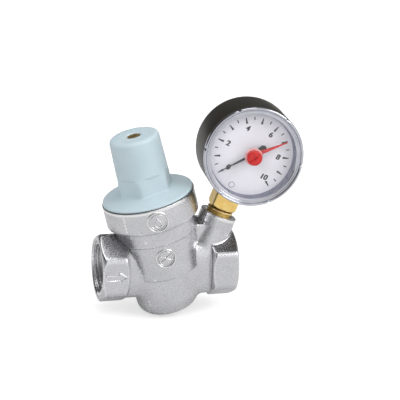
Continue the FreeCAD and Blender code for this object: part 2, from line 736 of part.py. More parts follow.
def plug_seal():
    """The flat rubber ring that closes on the seat."""
    inner, outer = plug_seal_radii()
    return tube(inner, outer, PLUG_TOP - SEAL_THICKNESS, PLUG_TOP)


def plug_nut():
    """The hexagon nut that holds the plug on the stem."""
    nut = regular_prism(6, 2 * (STEM_RADIUS + PLUG_NUT_WALL), PLUG_BASE - 2.2, PLUG_BASE)
    return nut.cut(rod(STEM_RADIUS + 0.02, PLUG_BASE - 4, PLUG_BASE + 1))


def diaphragm():
    """The rubber diaphragm with a thick bead and one rolled convolution."""
    bead_outer = CUP_BORE_RADIUS - FIT
    bead_inner = OUTLET_CHAMBER_RADIUS + 0.6
    roll = 0.5 * (bead_inner + PLATE_RADIUS)
    hole = STEM_THREAD_RADIUS + 0.02
    shape = turned([
        (hole, WEB_BASE),
        (PLATE_RADIUS + 0.2, WEB_BASE, 0.3),
        (roll, WEB_BASE - 1.6, 1.0),
        (bead_inner - 0.6, DIAPHRAGM_LEDGE + 0.4),
        (bead_inner, DIAPHRAGM_LEDGE),
        (bead_outer, DIAPHRAGM_LEDGE),
        (bead_outer, DIAPHRAGM_LEDGE + DIAPHRAGM_BEAD),
        (bead_inner, DIAPHRAGM_LEDGE + DIAPHRAGM_BEAD),
        (roll, WEB_CROWN - 1.6, 1.0),
        (PLATE_RADIUS + 0.4, WEB_CROWN, 0.3),
        (hole, WEB_CROWN),
    ])
    return shape


def slip_ring():
    """The washer between the diaphragm and the cover's skirt."""
    base = DIAPHRAGM_LEDGE + DIAPHRAGM_BEAD
    return tube(SKIRT_RADIUS - SKIRT_WALL, CUP_BORE_RADIUS - FIT, base, base + SLIP_RING_THICKNESS)


def lower_plate():
    """The disc below the diaphragm."""
    return turned([
        (STEM_THREAD_RADIUS + 0.02, LOWER_PLATE_BASE),
        (PLATE_RADIUS - 1.2, LOWER_PLATE_BASE, 0.8),
        (PLATE_RADIUS, WEB_BASE),
        (STEM_THREAD_RADIUS + 0.02, WEB_BASE),
    ])


def spring_plate():
    """The plate above the diaphragm that carries the main spring."""
    spring_outer = SPRING_MEAN_RADIUS + SPRING_WIRE_RADIUS
    lip = spring_outer + SIDE_GAP
    return turned([
        (STEM_THREAD_RADIUS + 0.02, WEB_CROWN),
        (PLATE_RADIUS, WEB_CROWN, 0.4),
        (PLATE_RADIUS, UPPER_PLATE_TOP - 0.6),
        (lip + 1.5, UPPER_PLATE_TOP + 1.2),
        (lip, UPPER_PLATE_TOP + 1.2),
        (lip, UPPER_PLATE_TOP),
        (STEM_THREAD_RADIUS + 0.02, UPPER_PLATE_TOP),
    ])


def lock_nut():
    """The nut that clamps both plates and the diaphragm on the stem."""
    top = UPPER_PLATE_TOP + LOCK_NUT_THICKNESS
    nut = regular_prism(6, LOCK_NUT_ACROSS_FLATS, UPPER_PLATE_TOP, top)
    return nut.cut(rod(STEM_THREAD_RADIUS + 0.02, UPPER_PLATE_TOP - 1, top + 1))


# ---- Cover and adjuster ----
def cover():
    """The moulded cover: skirt, flange, hexagon and tapered tower."""
    hexagon_top = HEX_COVER_BASE + HEX_COVER_HEIGHT
    skirt_bore = SKIRT_RADIUS - SKIRT_WALL
    flange = turned([
        (0, COVER_SEAT),
        (FLANGE_RADIUS, COVER_SEAT, 0.2),
        (FLANGE_RADIUS, FLANGE_TOP, 0.4),
        (TOWER_RADIUS_LOW + 2.5, HEX_COVER_BASE - 0.2, 2.0),
        (TOWER_RADIUS_LOW, HEX_COVER_BASE + 0.4),
        (0, HEX_COVER_BASE + 0.4),
    ])
    corner_turn = -90.0 - HEX_COVER_TURN
    hexagon = regular_prism(6, HEX_COVER_ACROSS_FLATS, FLANGE_TOP, hexagon_top + 2, corner_turn)
    hexagon_turning = turned([
        (0, FLANGE_TOP),
        (HEX_COVER_CORNER_RADIUS, FLANGE_TOP),
        (HEX_COVER_CORNER_RADIUS, hexagon_top - 3),
        (TOWER_RADIUS_LOW - 0.2, hexagon_top + 2),
        (0, hexagon_top + 2),
    ])
    tower = turned([
        (0, hexagon_top),
        (TOWER_RADIUS_LOW, hexagon_top, 0.3),
        (TOWER_RADIUS_TOP, COVER_TOP, 1.6),
        (0, COVER_TOP),
    ])
    skirt = rod(SKIRT_RADIUS, SKIRT_BASE, COVER_SEAT + 0.5)
    shape = flange.fuse(hexagon.common(hexagon_turning)).fuse(tower).fuse(skirt)
    hollow = turned([
        (0, SKIRT_BASE - 1),
        (skirt_bore, SKIRT_BASE - 1),
        (skirt_bore, COVER_SEAT - 1.5),
        (SPRING_CHAMBER_RADIUS, FLANGE_TOP + 1),
        (SPRING_CHAMBER_RADIUS, ROOF_UNDERSIDE),
        (ADJUSTER_HOLE_RADIUS, ROOF_UNDERSIDE),
        (ADJUSTER_HOLE_RADIUS, COVER_TOP + 1),
        (0, COVER_TOP + 1),
    ])
    shape = shape.cut(hollow)
    key_top = COLLAR_BASE - SIDE_GAP
    key = block(SPRING_CHAMBER_RADIUS - KEY_DEPTH, SPRING_CHAMBER_RADIUS + 0.5,
                -0.5 * KEY_WIDTH, 0.5 * KEY_WIDTH, SPRING_NUT_BASE - 5, key_top)
    key = key.cut(rod(SPRING_MEAN_RADIUS + SPRING_WIRE_RADIUS + SIDE_GAP / 2, 0, SPRING_NUT_BASE))
    for rib in around(key, 2):
        shape = shape.fuse(rib)
    return shape.removeSplitter()


def spring_nut():
    """The nut on the adjusting screw that presses on the main spring."""
    outer = SPRING_CHAMBER_RADIUS - SIDE_GAP
    top = SPRING_NUT_BASE + SPRING_NUT_THICKNESS
    nut = turned([
        (ADJUSTER_THREAD_RADIUS + RUNNING_FIT, SPRING_NUT_BASE),
        (outer, SPRING_NUT_BASE, 0.4),
        (outer, top, 0.4),
        (ADJUSTER_THREAD_RADIUS + RUNNING_FIT, top),
    ])
    slot_half = 0.5 * KEY_WIDTH + SIDE_GAP
    slot = block(SPRING_CHAMBER_RADIUS - KEY_DEPTH - SIDE_GAP, SPRING_CHAMBER_RADIUS + 1,
                 -slot_half, slot_half, SPRING_NUT_BASE - 1, top + 1)
    for groove in around(slot, 2):
        nut = nut.cut(groove)
    return nut


def adjusting_screw():
    """The slotted screw under the roof of the cover."""
    head_radius = ADJUSTER_HOLE_RADIUS - SIDE_GAP
    head_top = COVER_TOP - 0.4
    shape = turned([
        (0, ADJUSTER_TIP),
        (ADJUSTER_THREAD_RADIUS, ADJUSTER_TIP, 0.5),
        (ADJUSTER_THREAD_RADIUS, COLLAR_BASE),
        (ADJUSTER_COLLAR_RADIUS, COLLAR_BASE, 0.3),
        (ADJUSTER_COLLAR_RADIUS, COLLAR_TOP),
        (head_radius, COLLAR_TOP),
        (head_radius, head_top, 0.3),
        (0, head_top),
    ])
    reach = 2 * head_radius
    slot = block(-reach, reach, -0.5 * ADJUSTER_SLOT_WIDTH, 0.5 * ADJUSTER_SLOT_WIDTH,
                 head_top - ADJUSTER_SLOT_DEPTH, head_top + 1)
    slot.rotate(ORIGIN, AXIS_Z, 30)
    return shape.cut(slot)


def main_spring():
    """The open coil spring between the spring plate and the spring nut."""
    height = SPRING_TOP - SPRING_BASE - 2 * SPRING_WIRE_RADIUS
    helix = Part.makeHelix(height / SPRING_TURNS, height, SPRING_MEAN_RADIUS)
    section = Part.Wire(Part.makeCircle(SPRING_WIRE_RADIUS, Vec(SPRING_MEAN_RADIUS, 0, 0), AXIS_Y))
    shape = Part.Wire(helix).makePipeShell([section], True, True)
    shape.translate(Vec(0, 0, SPRING_BASE + SPRING_WIRE_RADIUS))
    return shape


# ---- Gauge ----
def gauge_socket():
    """The brass stem: thread, spanner square, neck and the block in the case."""
    pipe = turned([
        (0, -BOSS_BORE_DEPTH + 1),
        (BOSS_BORE_RADIUS - RUNNING_FIT, -BOSS_BORE_DEPTH + 1, 0.5),
        (BOSS_BORE_RADIUS - RUNNING_FIT, -0.3, 0.2),
        (STEM_THREAD_TOP_RADIUS, 0),
        (STEM_THREAD_TOP_RADIUS, STEM_SQUARE_BASE - 0.8),
        (STEM_SQUARE / 2 - 0.7, STEM_SQUARE_BASE),
        (0, STEM_SQUARE_BASE),
    ])
    square_corner = STEM_SQUARE / 2 * math.sqrt(2)
    square = regular_prism(4, STEM_SQUARE, STEM_SQUARE_BASE, STEM_SQUARE_TOP, 45)
    square_turning = turned([
        (0, STEM_SQUARE_BASE),
        (STEM_SQUARE / 2 + 0.6, STEM_SQUARE_BASE),
        (square_corner - 0.4, STEM_SQUARE_BASE + 1.2),
        (square_corner - 0.4, STEM_SQUARE_TOP),
        (0, STEM_SQUARE_TOP),
    ])
    square = square.common(square_turning)
    block_base = GAUGE_RISE - CASE_BORE_RADIUS + 0.4
    block_top = GAUGE_RISE + BLOCK_TOP
    neck = rod(STEM_NECK_RADIUS, STEM_SQUARE_TOP - 1, block_base + 3)
    holder = block(-0.5 * BLOCK_WIDTH, 0.5 * BLOCK_WIDTH, -0.5 * BLOCK_DEPTH, 0.5 * BLOCK_DEPTH,
                   block_base + 1.5, block_top)
    shape = pipe.fuse(square).fuse(neck).fuse(holder)
    waterway = rod(1.2, -BOSS_BORE_DEPTH, block_top - 4)
    return shape.cut(waterway).removeSplitter()


def gauge_case():
    """The round case, open to the front, with a ledge for the dial."""
    shape = turned([
        (0, -CASE_DEPTH),
        (CASE_RADIUS, -CASE_DEPTH, 2.0),
        (CASE_RADIUS, CASE_LIP),
        (CASE_BORE_RADIUS, CASE_LIP),
        (CASE_BORE_RADIUS, -DIAL_THICKNESS),
        (CASE_BORE_RADIUS - DIAL_LEDGE_WIDTH, -DIAL_THICKNESS),
        (CASE_BORE_RADIUS - DIAL_LEDGE_WIDTH, -DIAL_THICKNESS - DIAL_LEDGE_THICKNESS),
        (CASE_BORE_RADIUS, -DIAL_THICKNESS - DIAL_LEDGE_THICKNESS),
        (CASE_BORE_RADIUS, -CASE_DEPTH + CASE_WALL),
        (0, -CASE_DEPTH + CASE_WALL),
    ])
    below = Vec(0, -1.5 * CASE_RADIUS, -DIAL_FORWARD)
    hole = Part.makeCylinder(STEM_NECK_RADIUS + FIT, CASE_RADIUS, below, AXIS_Y)
    pads = []
    pad_front = -DIAL_FORWARD - 0.5 * BLOCK_DEPTH
    for x in CASE_SCREW_X:
        pads.append(rod(2.2, -CASE_DEPTH + 0.5, pad_front, x, CASE_SCREW_Y))
    shape = shape.cut(hole).multiFuse(pads)
    for x in CASE_SCREW_X:
        shape = shape.cut(rod(CASE_SCREW_RADIUS + FIT, -CASE_DEPTH - 1, 0, x, CASE_SCREW_Y))
        sunk = -CASE_DEPTH + CASE_SCREW_SINK
        recess = rod(CASE_SCREW_HEAD + FIT, -CASE_DEPTH - 1, sunk, x, CASE_SCREW_Y)
        shape = shape.cut(recess)
    return shape.removeSplitter()


def case_screws():
    """The two screws through the back of the case into the stem's block."""
    screws = []
    block_face = -DIAL_FORWARD - 0.5 * BLOCK_DEPTH
    for x in CASE_SCREW_X:
        face = -CASE_DEPTH - CASE_SCREW_PROUD
        head = rod(CASE_SCREW_HEAD, face, -CASE_DEPTH + CASE_SCREW_SINK, x, CASE_SCREW_Y)
        shank = rod(CASE_SCREW_RADIUS, -CASE_DEPTH, block_face, x, CASE_SCREW_Y)
        slot = block(x - 3, x + 3, CASE_SCREW_Y - 0.2, CASE_SCREW_Y + 0.2, face - 1, face + 0.45)
        screws.append(head.fuse(shank).cut(slot))
    return Part.makeCompound(screws)


def gauge_bezel():
    """The bright ring that holds the window in the case."""
    skirt = CASE_BORE_RADIUS - FIT
    return turned([
        (BEZEL_INNER_RADIUS, LENS_FRONT),
        (skirt, LENS_FRONT),
        (skirt, CASE_LIP + 0.9),
        (CASE_RADIUS - 0.05, CASE_LIP + 0.02),
        (CASE_RADIUS - 0.05, BEZEL_FRONT, 0.9),
        (CASE_RADIUS - 1.4, BEZEL_FRONT, 0.3),
    ])


def window_ring():
    """The bright spacer between the dial and the window."""
    outer = CASE_BORE_RADIUS - FIT
    return turned([
        (BEZEL_INNER_RADIUS - 0.9, 0),
        (outer, 0),
        (outer, LENS_BACK),
        (BEZEL_INNER_RADIUS, LENS_BACK),
    ])


def gauge_window():
    """The clear window, with a hole for the knob's spindle."""
    outer = CASE_BORE_RADIUS - DISC_GAP
    return tube(KNOB_SPINDLE_RADIUS + RUNNING_FIT, outer, LENS_BACK, LENS_FRONT)


def gauge_dial():
    """The printed plate, with a hole for the pointer's arbor."""
    outer = CASE_BORE_RADIUS - DISC_GAP
    return tube(ARBOR_RADIUS + SIDE_GAP, outer, -DIAL_THICKNESS, 0)


def bourdon_tube():
    """The flattened tube that loops round the movement from the block."""
    centre = -DIAL_FORWARD
    inner = TUBE_LOOP_RADIUS - TUBE_HALF_WIDTH
    outer = TUBE_LOOP_RADIUS + TUBE_HALF_WIDTH
    low = centre - TUBE_HALF_HEIGHT
    high = centre + TUBE_HALF_HEIGHT
    corner = 0.9 * TUBE_HALF_WIDTH
    sweep = 360.0 + TUBE_START - TUBE_END
    section = Part.Face(outline([
        (inner, low, corner),
        (outer, low, corner),
        (outer, high, corner),
        (inner, high, corner),
    ]))
    ring = section.revolve(ORIGIN, AXIS_Z, sweep)
    ring.rotate(ORIGIN, AXIS_Z, TUBE_END)
    half = 0.5 * BLOCK_WIDTH
    depth = 0.5 * BLOCK_DEPTH
    room = block(-half, half, -CASE_RADIUS, BLOCK_TOP, centre - depth, centre + depth)
    return ring.cut(room)


def tip_position():
    """Centre of the tube's free end in the dial frame."""
    angle = math.radians(TUBE_END)
    return TUBE_LOOP_RADIUS * math.cos(angle), TUBE_LOOP_RADIUS * math.sin(angle)


def dial_pin_position():
    """Where the pin on the sector's tail stands at rest."""
    angle = math.radians(0.5 * SECTOR_SWEEP)
    return -LINK_PIN_ARM * math.sin(angle), SECTOR_PIVOT_Y - LINK_PIN_ARM * math.cos(angle)


def tube_tip():
    """The end block on the tube, with the post that carries the link."""
    tip_x, tip_y = tip_position()
    end = block(-1.5, 1.5, -1.5, 0, -DIAL_FORWARD - 2.6, -DIAL_FORWARD + 2.6)
    end.rotate(ORIGIN, AXIS_Z, TUBE_END)
    end.translate(Vec(tip_x, tip_y, 0))
    angle = math.radians(TUBE_END)
    post_x = tip_x + 0.75 * math.sin(angle)
    post_y = tip_y - 0.75 * math.cos(angle)
    post = rod(0.6, -DIAL_FORWARD, LINK_BASE, post_x, post_y)
    return end.fuse(post).removeSplitter()


def movement_link():
    """The flat link from the tube's tip to the sector's tail pin."""
    tip_x, tip_y = tip_position()
    angle = math.radians(TUBE_END)
    post_x = tip_x + 0.75 * math.sin(angle)
    post_y = tip_y - 0.75 * math.cos(angle)
    pin_x, pin_y = dial_pin_position()
    top = LINK_BASE + LINK_THICKNESS
    eye = rod(1.6, LINK_BASE, top, pin_x, pin_y)
    end = rod(1.2, LINK_BASE, top, post_x, post_y)
    length = math.hypot(post_x - pin_x, post_y - pin_y)
    turn = math.degrees(math.atan2(post_y - pin_y, post_x - pin_x))
    bar = block(0, length, -0.5, 0.5, LINK_BASE, top)
    bar.rotate(ORIGIN, AXIS_Z, turn)
    bar.translate(Vec(pin_x, pin_y, 0))
    shape = eye.fuse(end).fuse(bar)
    return shape.cut(rod(LINK_PIN_RADIUS + 0.5, LINK_BASE - 1, top + 1, pin_x, pin_y)).removeSplitter()


def movement_plate(points, face):
    """One plate of the movement, with bearings for the arbor and the sector."""
    plate = polygon_prism(points, face - MOVEMENT_PLATE_THICKNESS, face)
    for x, y in ((0, 0), (0, SECTOR_PIVOT_Y)):
        plate = plate.cut(rod(ARBOR_RADIUS + RUNNING_FIT, face - 5, face + 5, x, y))
    return plate


def rear_plate():
    """The rear plate, which the stem's block carries."""
    foot = SECTOR_PIVOT_Y - REAR_PLATE_MARGIN
    points = [(-PLATE_HALF_WIDTH, foot), (PLATE_HALF_WIDTH, foot)]
    return movement_plate(points + PLATE_TOP, BACK_PLATE_FACE)


def front_plate():
    """The front plate, which the pillars carry."""
    foot = SECTOR_PIVOT_Y - FRONT_PLATE_MARGIN
    points = [
        (-PLATE_HALF_WIDTH, PLATE_WAIST),
        (-PLATE_TAIL_HALF_WIDTH, foot),
        (PLATE_TAIL_HALF_WIDTH, foot),
        (PLATE_HALF_WIDTH, PLATE_WAIST),
    ]
    return movement_plate(points + PLATE_TOP, FRONT_PLATE_FACE)


def movement_pillars():
    """The pillars between the movement's plates, and the two feet on the block."""
    top = FRONT_PLATE_FACE - MOVEMENT_PLATE_THICKNESS
    sides = (-1, 1)
    pillars = [rod(PILLAR_RADIUS, BACK_PLATE_FACE, top, s * PILLAR_SPREAD, PILLAR_RISE) for s in sides]
    foot_top = BACK_PLATE_FACE - MOVEMENT_PLATE_THICKNESS
    foot_low = -DIAL_FORWARD + 0.5 * BLOCK_DEPTH
    foot_y = BLOCK_TOP - FOOT_DROP
    feet = [rod(PILLAR_RADIUS, foot_low, foot_top, s * FOOT_SPREAD, foot_y) for s in sides]
    return Part.makeCompound(pillars + feet)


def gear_tooth(pitch_radius, addendum, dedendum, thin):
    """One straight-sided tooth on +Y, as (x, y) points."""
    pitch = math.pi * GEAR_MODULE
    half = 0.25 * pitch - thin
    tip = half - 0.36 * addendum
    root = half + 0.30 * dedendum
    foot = pitch_radius - dedendum
    return [(-root, foot - 0.2), (-root, foot), (-tip, pitch_radius + addendum),
            (tip, pitch_radius + addendum), (root, foot), (root, foot - 0.2)]


def toothed(points, centre_radius, angles, low, high):
    """Teeth at the given angles from +Y, and the rim they stand on."""
    teeth = []
    for angle in angles:
        tooth = polygon_prism(points, low, high)
        tooth.rotate(ORIGIN, AXIS_Z, angle)
        teeth.append(tooth)
    return rod(centre_radius, low, high).multiFuse(teeth)


def sector_gear():
    """The toothed sector with its arbor, tail and link pin."""
    low = SECTOR_FACE - SECTOR_THICKNESS
    pitch_angle = 360.0 / SECTOR_TEETH
    dedendum = 1.25 * GEAR_MODULE
    addendum = 0.8 * GEAR_MODULE
    count = int(SECTOR_SWEEP / pitch_angle) + 5
    first = 2 - count
    angles = [(first + i + 0.5) * pitch_angle for i in range(count)]
    points = gear_tooth(SECTOR_RADIUS, addendum, dedendum, GEAR_BACKLASH)
    disc = toothed(points, SECTOR_RADIUS - dedendum, angles, low, SECTOR_FACE)
    reach = SECTOR_RADIUS + 2
    start = math.radians(90 + angles[0] - 0.6 * pitch_angle)
    finish = math.radians(90 + angles[-1] + 0.6 * pitch_angle)
    middle = 0.5 * (start + finish)
    wedge = polygon_prism([
        (0, 0),
        (2 * reach * math.cos(start), 2 * reach * math.sin(start)),
        (2 * reach * math.cos(middle), 2 * reach * math.sin(middle)),
        (2 * reach * math.cos(finish), 2 * reach * math.sin(finish)),
    ], low - 1, SECTOR_FACE + 1)
    shape = disc.common(wedge)
    hub = rod(1.8, low, SECTOR_FACE)
    tail_angle = math.degrees(math.radians(270) - math.radians(0.5 * SECTOR_SWEEP))
    tail = block(0, LINK_PIN_ARM, -0.8, 0.8, low, SECTOR_FACE)
    tail.rotate(ORIGIN, AXIS_Z, tail_angle)
    pin_angle = math.radians(tail_angle)
    pin_x = LINK_PIN_ARM * math.cos(pin_angle)
    pin_y = LINK_PIN_ARM * math.sin(pin_angle)
    tail_end = rod(1.2, low, SECTOR_FACE, pin_x, pin_y)
    pin = rod(LINK_PIN_RADIUS, low, LINK_BASE + LINK_THICKNESS + 0.3, pin_x, pin_y)
    arbor = rod(ARBOR_RADIUS, BACK_PLATE_FACE - MOVEMENT_PLATE_THICKNESS, FRONT_PLATE_FACE)
    shape = shape.fuse(hub).fuse(tail).fuse(tail_end).fuse(pin).fuse(arbor)
    shape.translate(Vec(0, SECTOR_PIVOT_Y, 0))
    return shape.removeSplitter()


def pointer_arbor():
    """The arbor with its pinion, which carries the pointer."""
    low = SECTOR_FACE - SECTOR_THICKNESS - 0.2
    high = SECTOR_FACE + 0.2
    dedendum = 1.25 * GEAR_MODULE
    points = gear_tooth(PINION_RADIUS, 0.8 * GEAR_MODULE, dedendum, GEAR_BACKLASH)
    points[0] = (points[0][0], 0.5)
    points[-1] = (points[-1][0], 0.5)
    angles = [360.0 * i / PINION_TEETH for i in range(PINION_TEETH)]
    shape = toothed(points, PINION_RADIUS - dedendum, angles, low, high)
    tail_end = BACK_PLATE_FACE - MOVEMENT_PLATE_THICKNESS
    arbor = rod(ARBOR_RADIUS, tail_end, POINTER_PLANE + POINTER_THICKNESS)
    collar = rod(1.0, -3.4, -2.6)
    return shape.fuse(arbor).fuse(collar).removeSplitter()


def spiral_edges(start_radius):
    """Half-circle arcs of a flat spiral, outwards from a start radius."""
    edges = []
    left = -start_radius
    for i in range(2 * HAIRSPRING_TURNS):
        sign = 1 if i % 2 else -1
        width = 2 * start_radius + 0.5 * HAIRSPRING_PITCH * (i + 1)
        right = left - sign * width
        centre = 0.5 * (left + right)
        top = Vec(centre, -sign * 0.5 * width, 0)
        edges.append(Part.Arc(Vec(left, 0, 0), top, Vec(right, 0, 0)).toShape())
        left = right
    return edges, left


def hairspring():
    """The flat spiral that takes up the play between the gears."""
    inner, inner_end = spiral_edges(HAIRSPRING_INNER)
    outer, outer_end = spiral_edges(HAIRSPRING_INNER + HAIRSPRING_WALL)
    start = Vec(-HAIRSPRING_INNER, 0, 0)
    start_cap = Part.LineSegment(start, start - Vec(HAIRSPRING_WALL, 0, 0))
    end_cap = Part.LineSegment(Vec(inner_end, 0, 0), Vec(outer_end, 0, 0))
    wire = Part.Wire(Part.__sortEdges__(inner + outer + [start_cap.toShape(), end_cap.toShape()]))
    shape = Part.Face(wire).extrude(Vec(0, 0, HAIRSPRING_WIDTH))
    shape.translate(Vec(0, 0, HAIRSPRING_BASE))
    return shape


def gauge_pointer():
    """The black pointer: thin blade, hub and broad tail, towards zero at rest."""
    low = POINTER_PLANE
    high = POINTER_PLANE + POINTER_THICKNESS
    tip = POINTER_LENGTH
    blade = polygon_prism([(-POINTER_HALF_ROOT, 0), (-POINTER_HALF_TIP, tip), (POINTER_HALF_TIP, tip),
                           (POINTER_HALF_ROOT, 0)], low, high)
    tail_points = [(-0.8, 0), (0.8, 0), (2.0, -6.2), (1.2, -7.6), (-1.2, -7.6), (-2.0, -6.2)]
    tail = polygon_prism(tail_points, low, high)
    hub = rod(2.0, low, high)
    shape = blade.fuse(tail).fuse(hub).cut(rod(ARBOR_RADIUS, low - 1, high + 1)).removeSplitter()
    shape.rotate(ORIGIN, AXIS_Z, 0.5 * POINTER_SWEEP)
    return shape


def stop_pin():
    """The pin on the dial that the pointer's blade rests against at zero."""
    radius = STOP_PIN_SHARE * POINTER_LENGTH
    half_blade = POINTER_HALF_ROOT + (POINTER_HALF_TIP - POINTER_HALF_ROOT) * STOP_PIN_SHARE
    aside = half_blade + STOP_PIN_GAP + STOP_PIN_RADIUS
    angle = math.radians(90 + 0.5 * POINTER_SWEEP) + math.asin(aside / radius)
    x = radius * math.cos(angle)
    y = radius * math.sin(angle)
    return rod(STOP_PIN_RADIUS, 0, POINTER_PLANE + POINTER_THICKNESS, x, y)


def set_pointer():
    """The red reference pointer under the window, carried by the knob."""
    low = SET_POINTER_PLANE
    high = low + SET_POINTER_THICKNESS
    tip = SET_POINTER_LENGTH
    blade = polygon_prism([(-1.3, 0), (-0.25, tip), (0.25, tip), (1.3, 0)], low, high)
    hub = rod(2.6, low, high)
    shape = blade.fuse(hub).cut(rod(KNOB_SPINDLE_RADIUS, low - 1, high + 1)).removeSplitter()
    turn = 0.5 * POINTER_SWEEP - POINTER_SWEEP * SET_POINTER_READING / FULL_SCALE
    shape.rotate(ORIGIN, AXIS_Z, turn)
    return shape


def set_knob():
    """The red knob on the window, with its spindle and coin slot."""
    base = LENS_FRONT + KNOB_RING_HEIGHT + SIDE_GAP
    front = LENS_FRONT + KNOB_HEIGHT
    head = turned([(0, base), (KNOB_RADIUS, base, 0.2), (KNOB_RADIUS, front, 0.5), (0, front)])
    spindle = rod(KNOB_SPINDLE_RADIUS, SET_POINTER_PLANE, base + 0.5)
    slot = block(-0.5, 0.5, -KNOB_RADIUS, 0.35 * KNOB_RADIUS, front - 0.9, front + 1)
    slot.rotate(ORIGIN, AXIS_Z, -35)
    return head.fuse(spindle).cut(slot).removeSplitter()


def knob_ring():
    """The pale collar round the spindle on the front of the window."""
    inner = KNOB_SPINDLE_RADIUS + RUNNING_FIT
    return tube(inner, KNOB_RING_RADIUS, LENS_FRONT, LENS_FRONT + KNOB_RING_HEIGHT)


UPPER_SEAL = outer_seal_radius(CARTRIDGE_BORE_RADIUS)
LOWER_SEAL = outer_seal_radius(SEAT_BORE_RADIUS)
STEM_SEAL = STEM_RADIUS + 2 * RUNNING_FIT + SEAL_SECTION

PARTS = {
    "valve_body": valve_body(),
    "cartridge_body": on_valve(cartridge_body()),
    "cartridge_upper_o_ring": on_valve(o_ring(UPPER_SEAL, UPPER_SEAL_HEIGHT)),
    "cartridge_lower_o_ring": on_valve(o_ring(LOWER_SEAL, LOWER_SEAL_HEIGHT)),
    "stem_o_ring": on_valve(o_ring(STEM_SEAL, STEM_SEAL_HEIGHT)),
    "strainer": on_valve(strainer()),
    "valve_stem": on_valve(valve_stem()),
    "valve_plug": on_valve(valve_plug()),
    "plug_seal": on_valve(plug_seal()),
    "plug_nut": on_valve(plug_nut()),
    "diaphragm": on_valve(diaphragm()),
    "slip_ring": on_valve(slip_ring()),
    "lower_plate": on_valve(lower_plate()),
    "spring_plate": on_valve(spring_plate()),
    "lock_nut": on_valve(lock_nut()),
    "cover": on_valve(cover()),
    "main_spring": on_valve(main_spring()),
    "spring_nut": on_valve(spring_nut()),
    "adjusting_screw": on_valve(adjusting_screw()),
    "gauge_socket": on_stem(gauge_socket()),
    "gauge_case": on_dial(gauge_case()),
    "case_screws": on_dial(case_screws()),
    "gauge_bezel": on_dial(gauge_bezel()),
    "window_ring": on_dial(window_ring()),
    "gauge_window": on_dial(gauge_window()),
    "gauge_dial": on_dial(gauge_dial()),
    "bourdon_tube": on_dial(bourdon_tube()),
    "tube_tip": on_dial(tube_tip()),
    "movement_link": on_dial(movement_link()),
    "rear_movement_plate": on_dial(rear_plate()),
    "front_movement_plate": on_dial(front_plate()),
    "movement_pillars": on_dial(movement_pillars()),
    "sector_gear": on_dial(sector_gear()),
    "pointer_arbor": on_dial(pointer_arbor()),
    "hairspring": on_dial(hairspring()),
    "gauge_pointer": on_dial(gauge_pointer()),
    "pointer_stop_pin": on_dial(stop_pin()),
    "set_pointer": on_dial(set_pointer()),
    "set_knob": on_dial(set_knob()),
    "knob_ring": on_dial(knob_ring()),
}

os.makedirs("parts", exist_ok=True)
for name, shape in PARTS.items():
    solids = shape.Solids
    print(name, "solids", len(solids), "valid", shape.isValid(), "volume", round(shape.Volume, 1))
    shape.exportStep(os.path.join("parts", name + ".step"))
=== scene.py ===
"""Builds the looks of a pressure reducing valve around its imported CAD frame.

Sizes in the classes are millimetres in a piece's own frame; every finished mesh
is placed in metres in the CAD frame: +X along the flow, +Z up, -Y to the front.
"""
import json
import logging
import math
from dataclasses import dataclass
from enum import Enum
from typing import Any, Callable, Sequence

import bmesh
import bpy
import numpy as np
from mathutils import Matrix, Vector


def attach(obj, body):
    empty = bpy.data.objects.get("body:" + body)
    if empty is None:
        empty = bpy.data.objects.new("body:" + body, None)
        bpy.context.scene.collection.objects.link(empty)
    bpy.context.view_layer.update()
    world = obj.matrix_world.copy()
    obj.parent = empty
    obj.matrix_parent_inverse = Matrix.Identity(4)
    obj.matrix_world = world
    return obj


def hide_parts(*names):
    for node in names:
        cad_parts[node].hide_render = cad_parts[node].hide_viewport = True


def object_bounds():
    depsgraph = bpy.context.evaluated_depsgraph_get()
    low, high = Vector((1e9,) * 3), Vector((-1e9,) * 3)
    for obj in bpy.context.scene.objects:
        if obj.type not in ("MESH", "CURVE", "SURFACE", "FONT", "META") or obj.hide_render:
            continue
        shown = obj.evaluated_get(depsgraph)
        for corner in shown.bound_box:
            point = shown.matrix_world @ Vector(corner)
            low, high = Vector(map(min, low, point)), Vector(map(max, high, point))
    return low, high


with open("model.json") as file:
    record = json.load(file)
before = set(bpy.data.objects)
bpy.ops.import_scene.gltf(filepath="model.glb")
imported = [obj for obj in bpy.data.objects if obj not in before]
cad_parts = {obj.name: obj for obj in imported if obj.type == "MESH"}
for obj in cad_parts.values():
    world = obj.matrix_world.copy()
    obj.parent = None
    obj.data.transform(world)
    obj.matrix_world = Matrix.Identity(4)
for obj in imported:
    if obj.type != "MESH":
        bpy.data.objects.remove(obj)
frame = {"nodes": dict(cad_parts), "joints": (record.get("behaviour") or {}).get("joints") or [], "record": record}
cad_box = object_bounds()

LOG = logging.getLogger("valve")
MM = 0.001
Shell = tuple[np.ndarray, Sequence[Sequence[int]]]
Outline = list[tuple[float, float]]

# Millimetres from the joints' places to the frames' origins
SCREW_HEIGHT = 60.0
STEM_RISE = 35.4
DIAL_FORWARD = 13.55


class Body(Enum):
    """The CAD bodies that new pieces ride on."""

    VALVE = "valve"
    POINTER = "pointer_body"
    SET_POINTER = "set_pointer_body"


class Slot(Enum):
    """The record's material slots."""

    CASTING = "plated_casting"
    COVER = "cover_nylon"
    BRASS = "brass"
    STAINLESS = "stainless"
    SPRING = "spring_steel"
    RUBBER = "seal_rubber"
    CARTRIDGE = "cartridge_plastic"
    RING = "ring_plastic"
    CASE = "case_black"
    CHROME = "bezel_chrome"
    WINDOW = "window_clear"
    DIAL = "dial_white"
    INK = "pointer_black"
    RED = "signal_red"
    PALE = "collar_pale"
    BRONZE = "bronze"


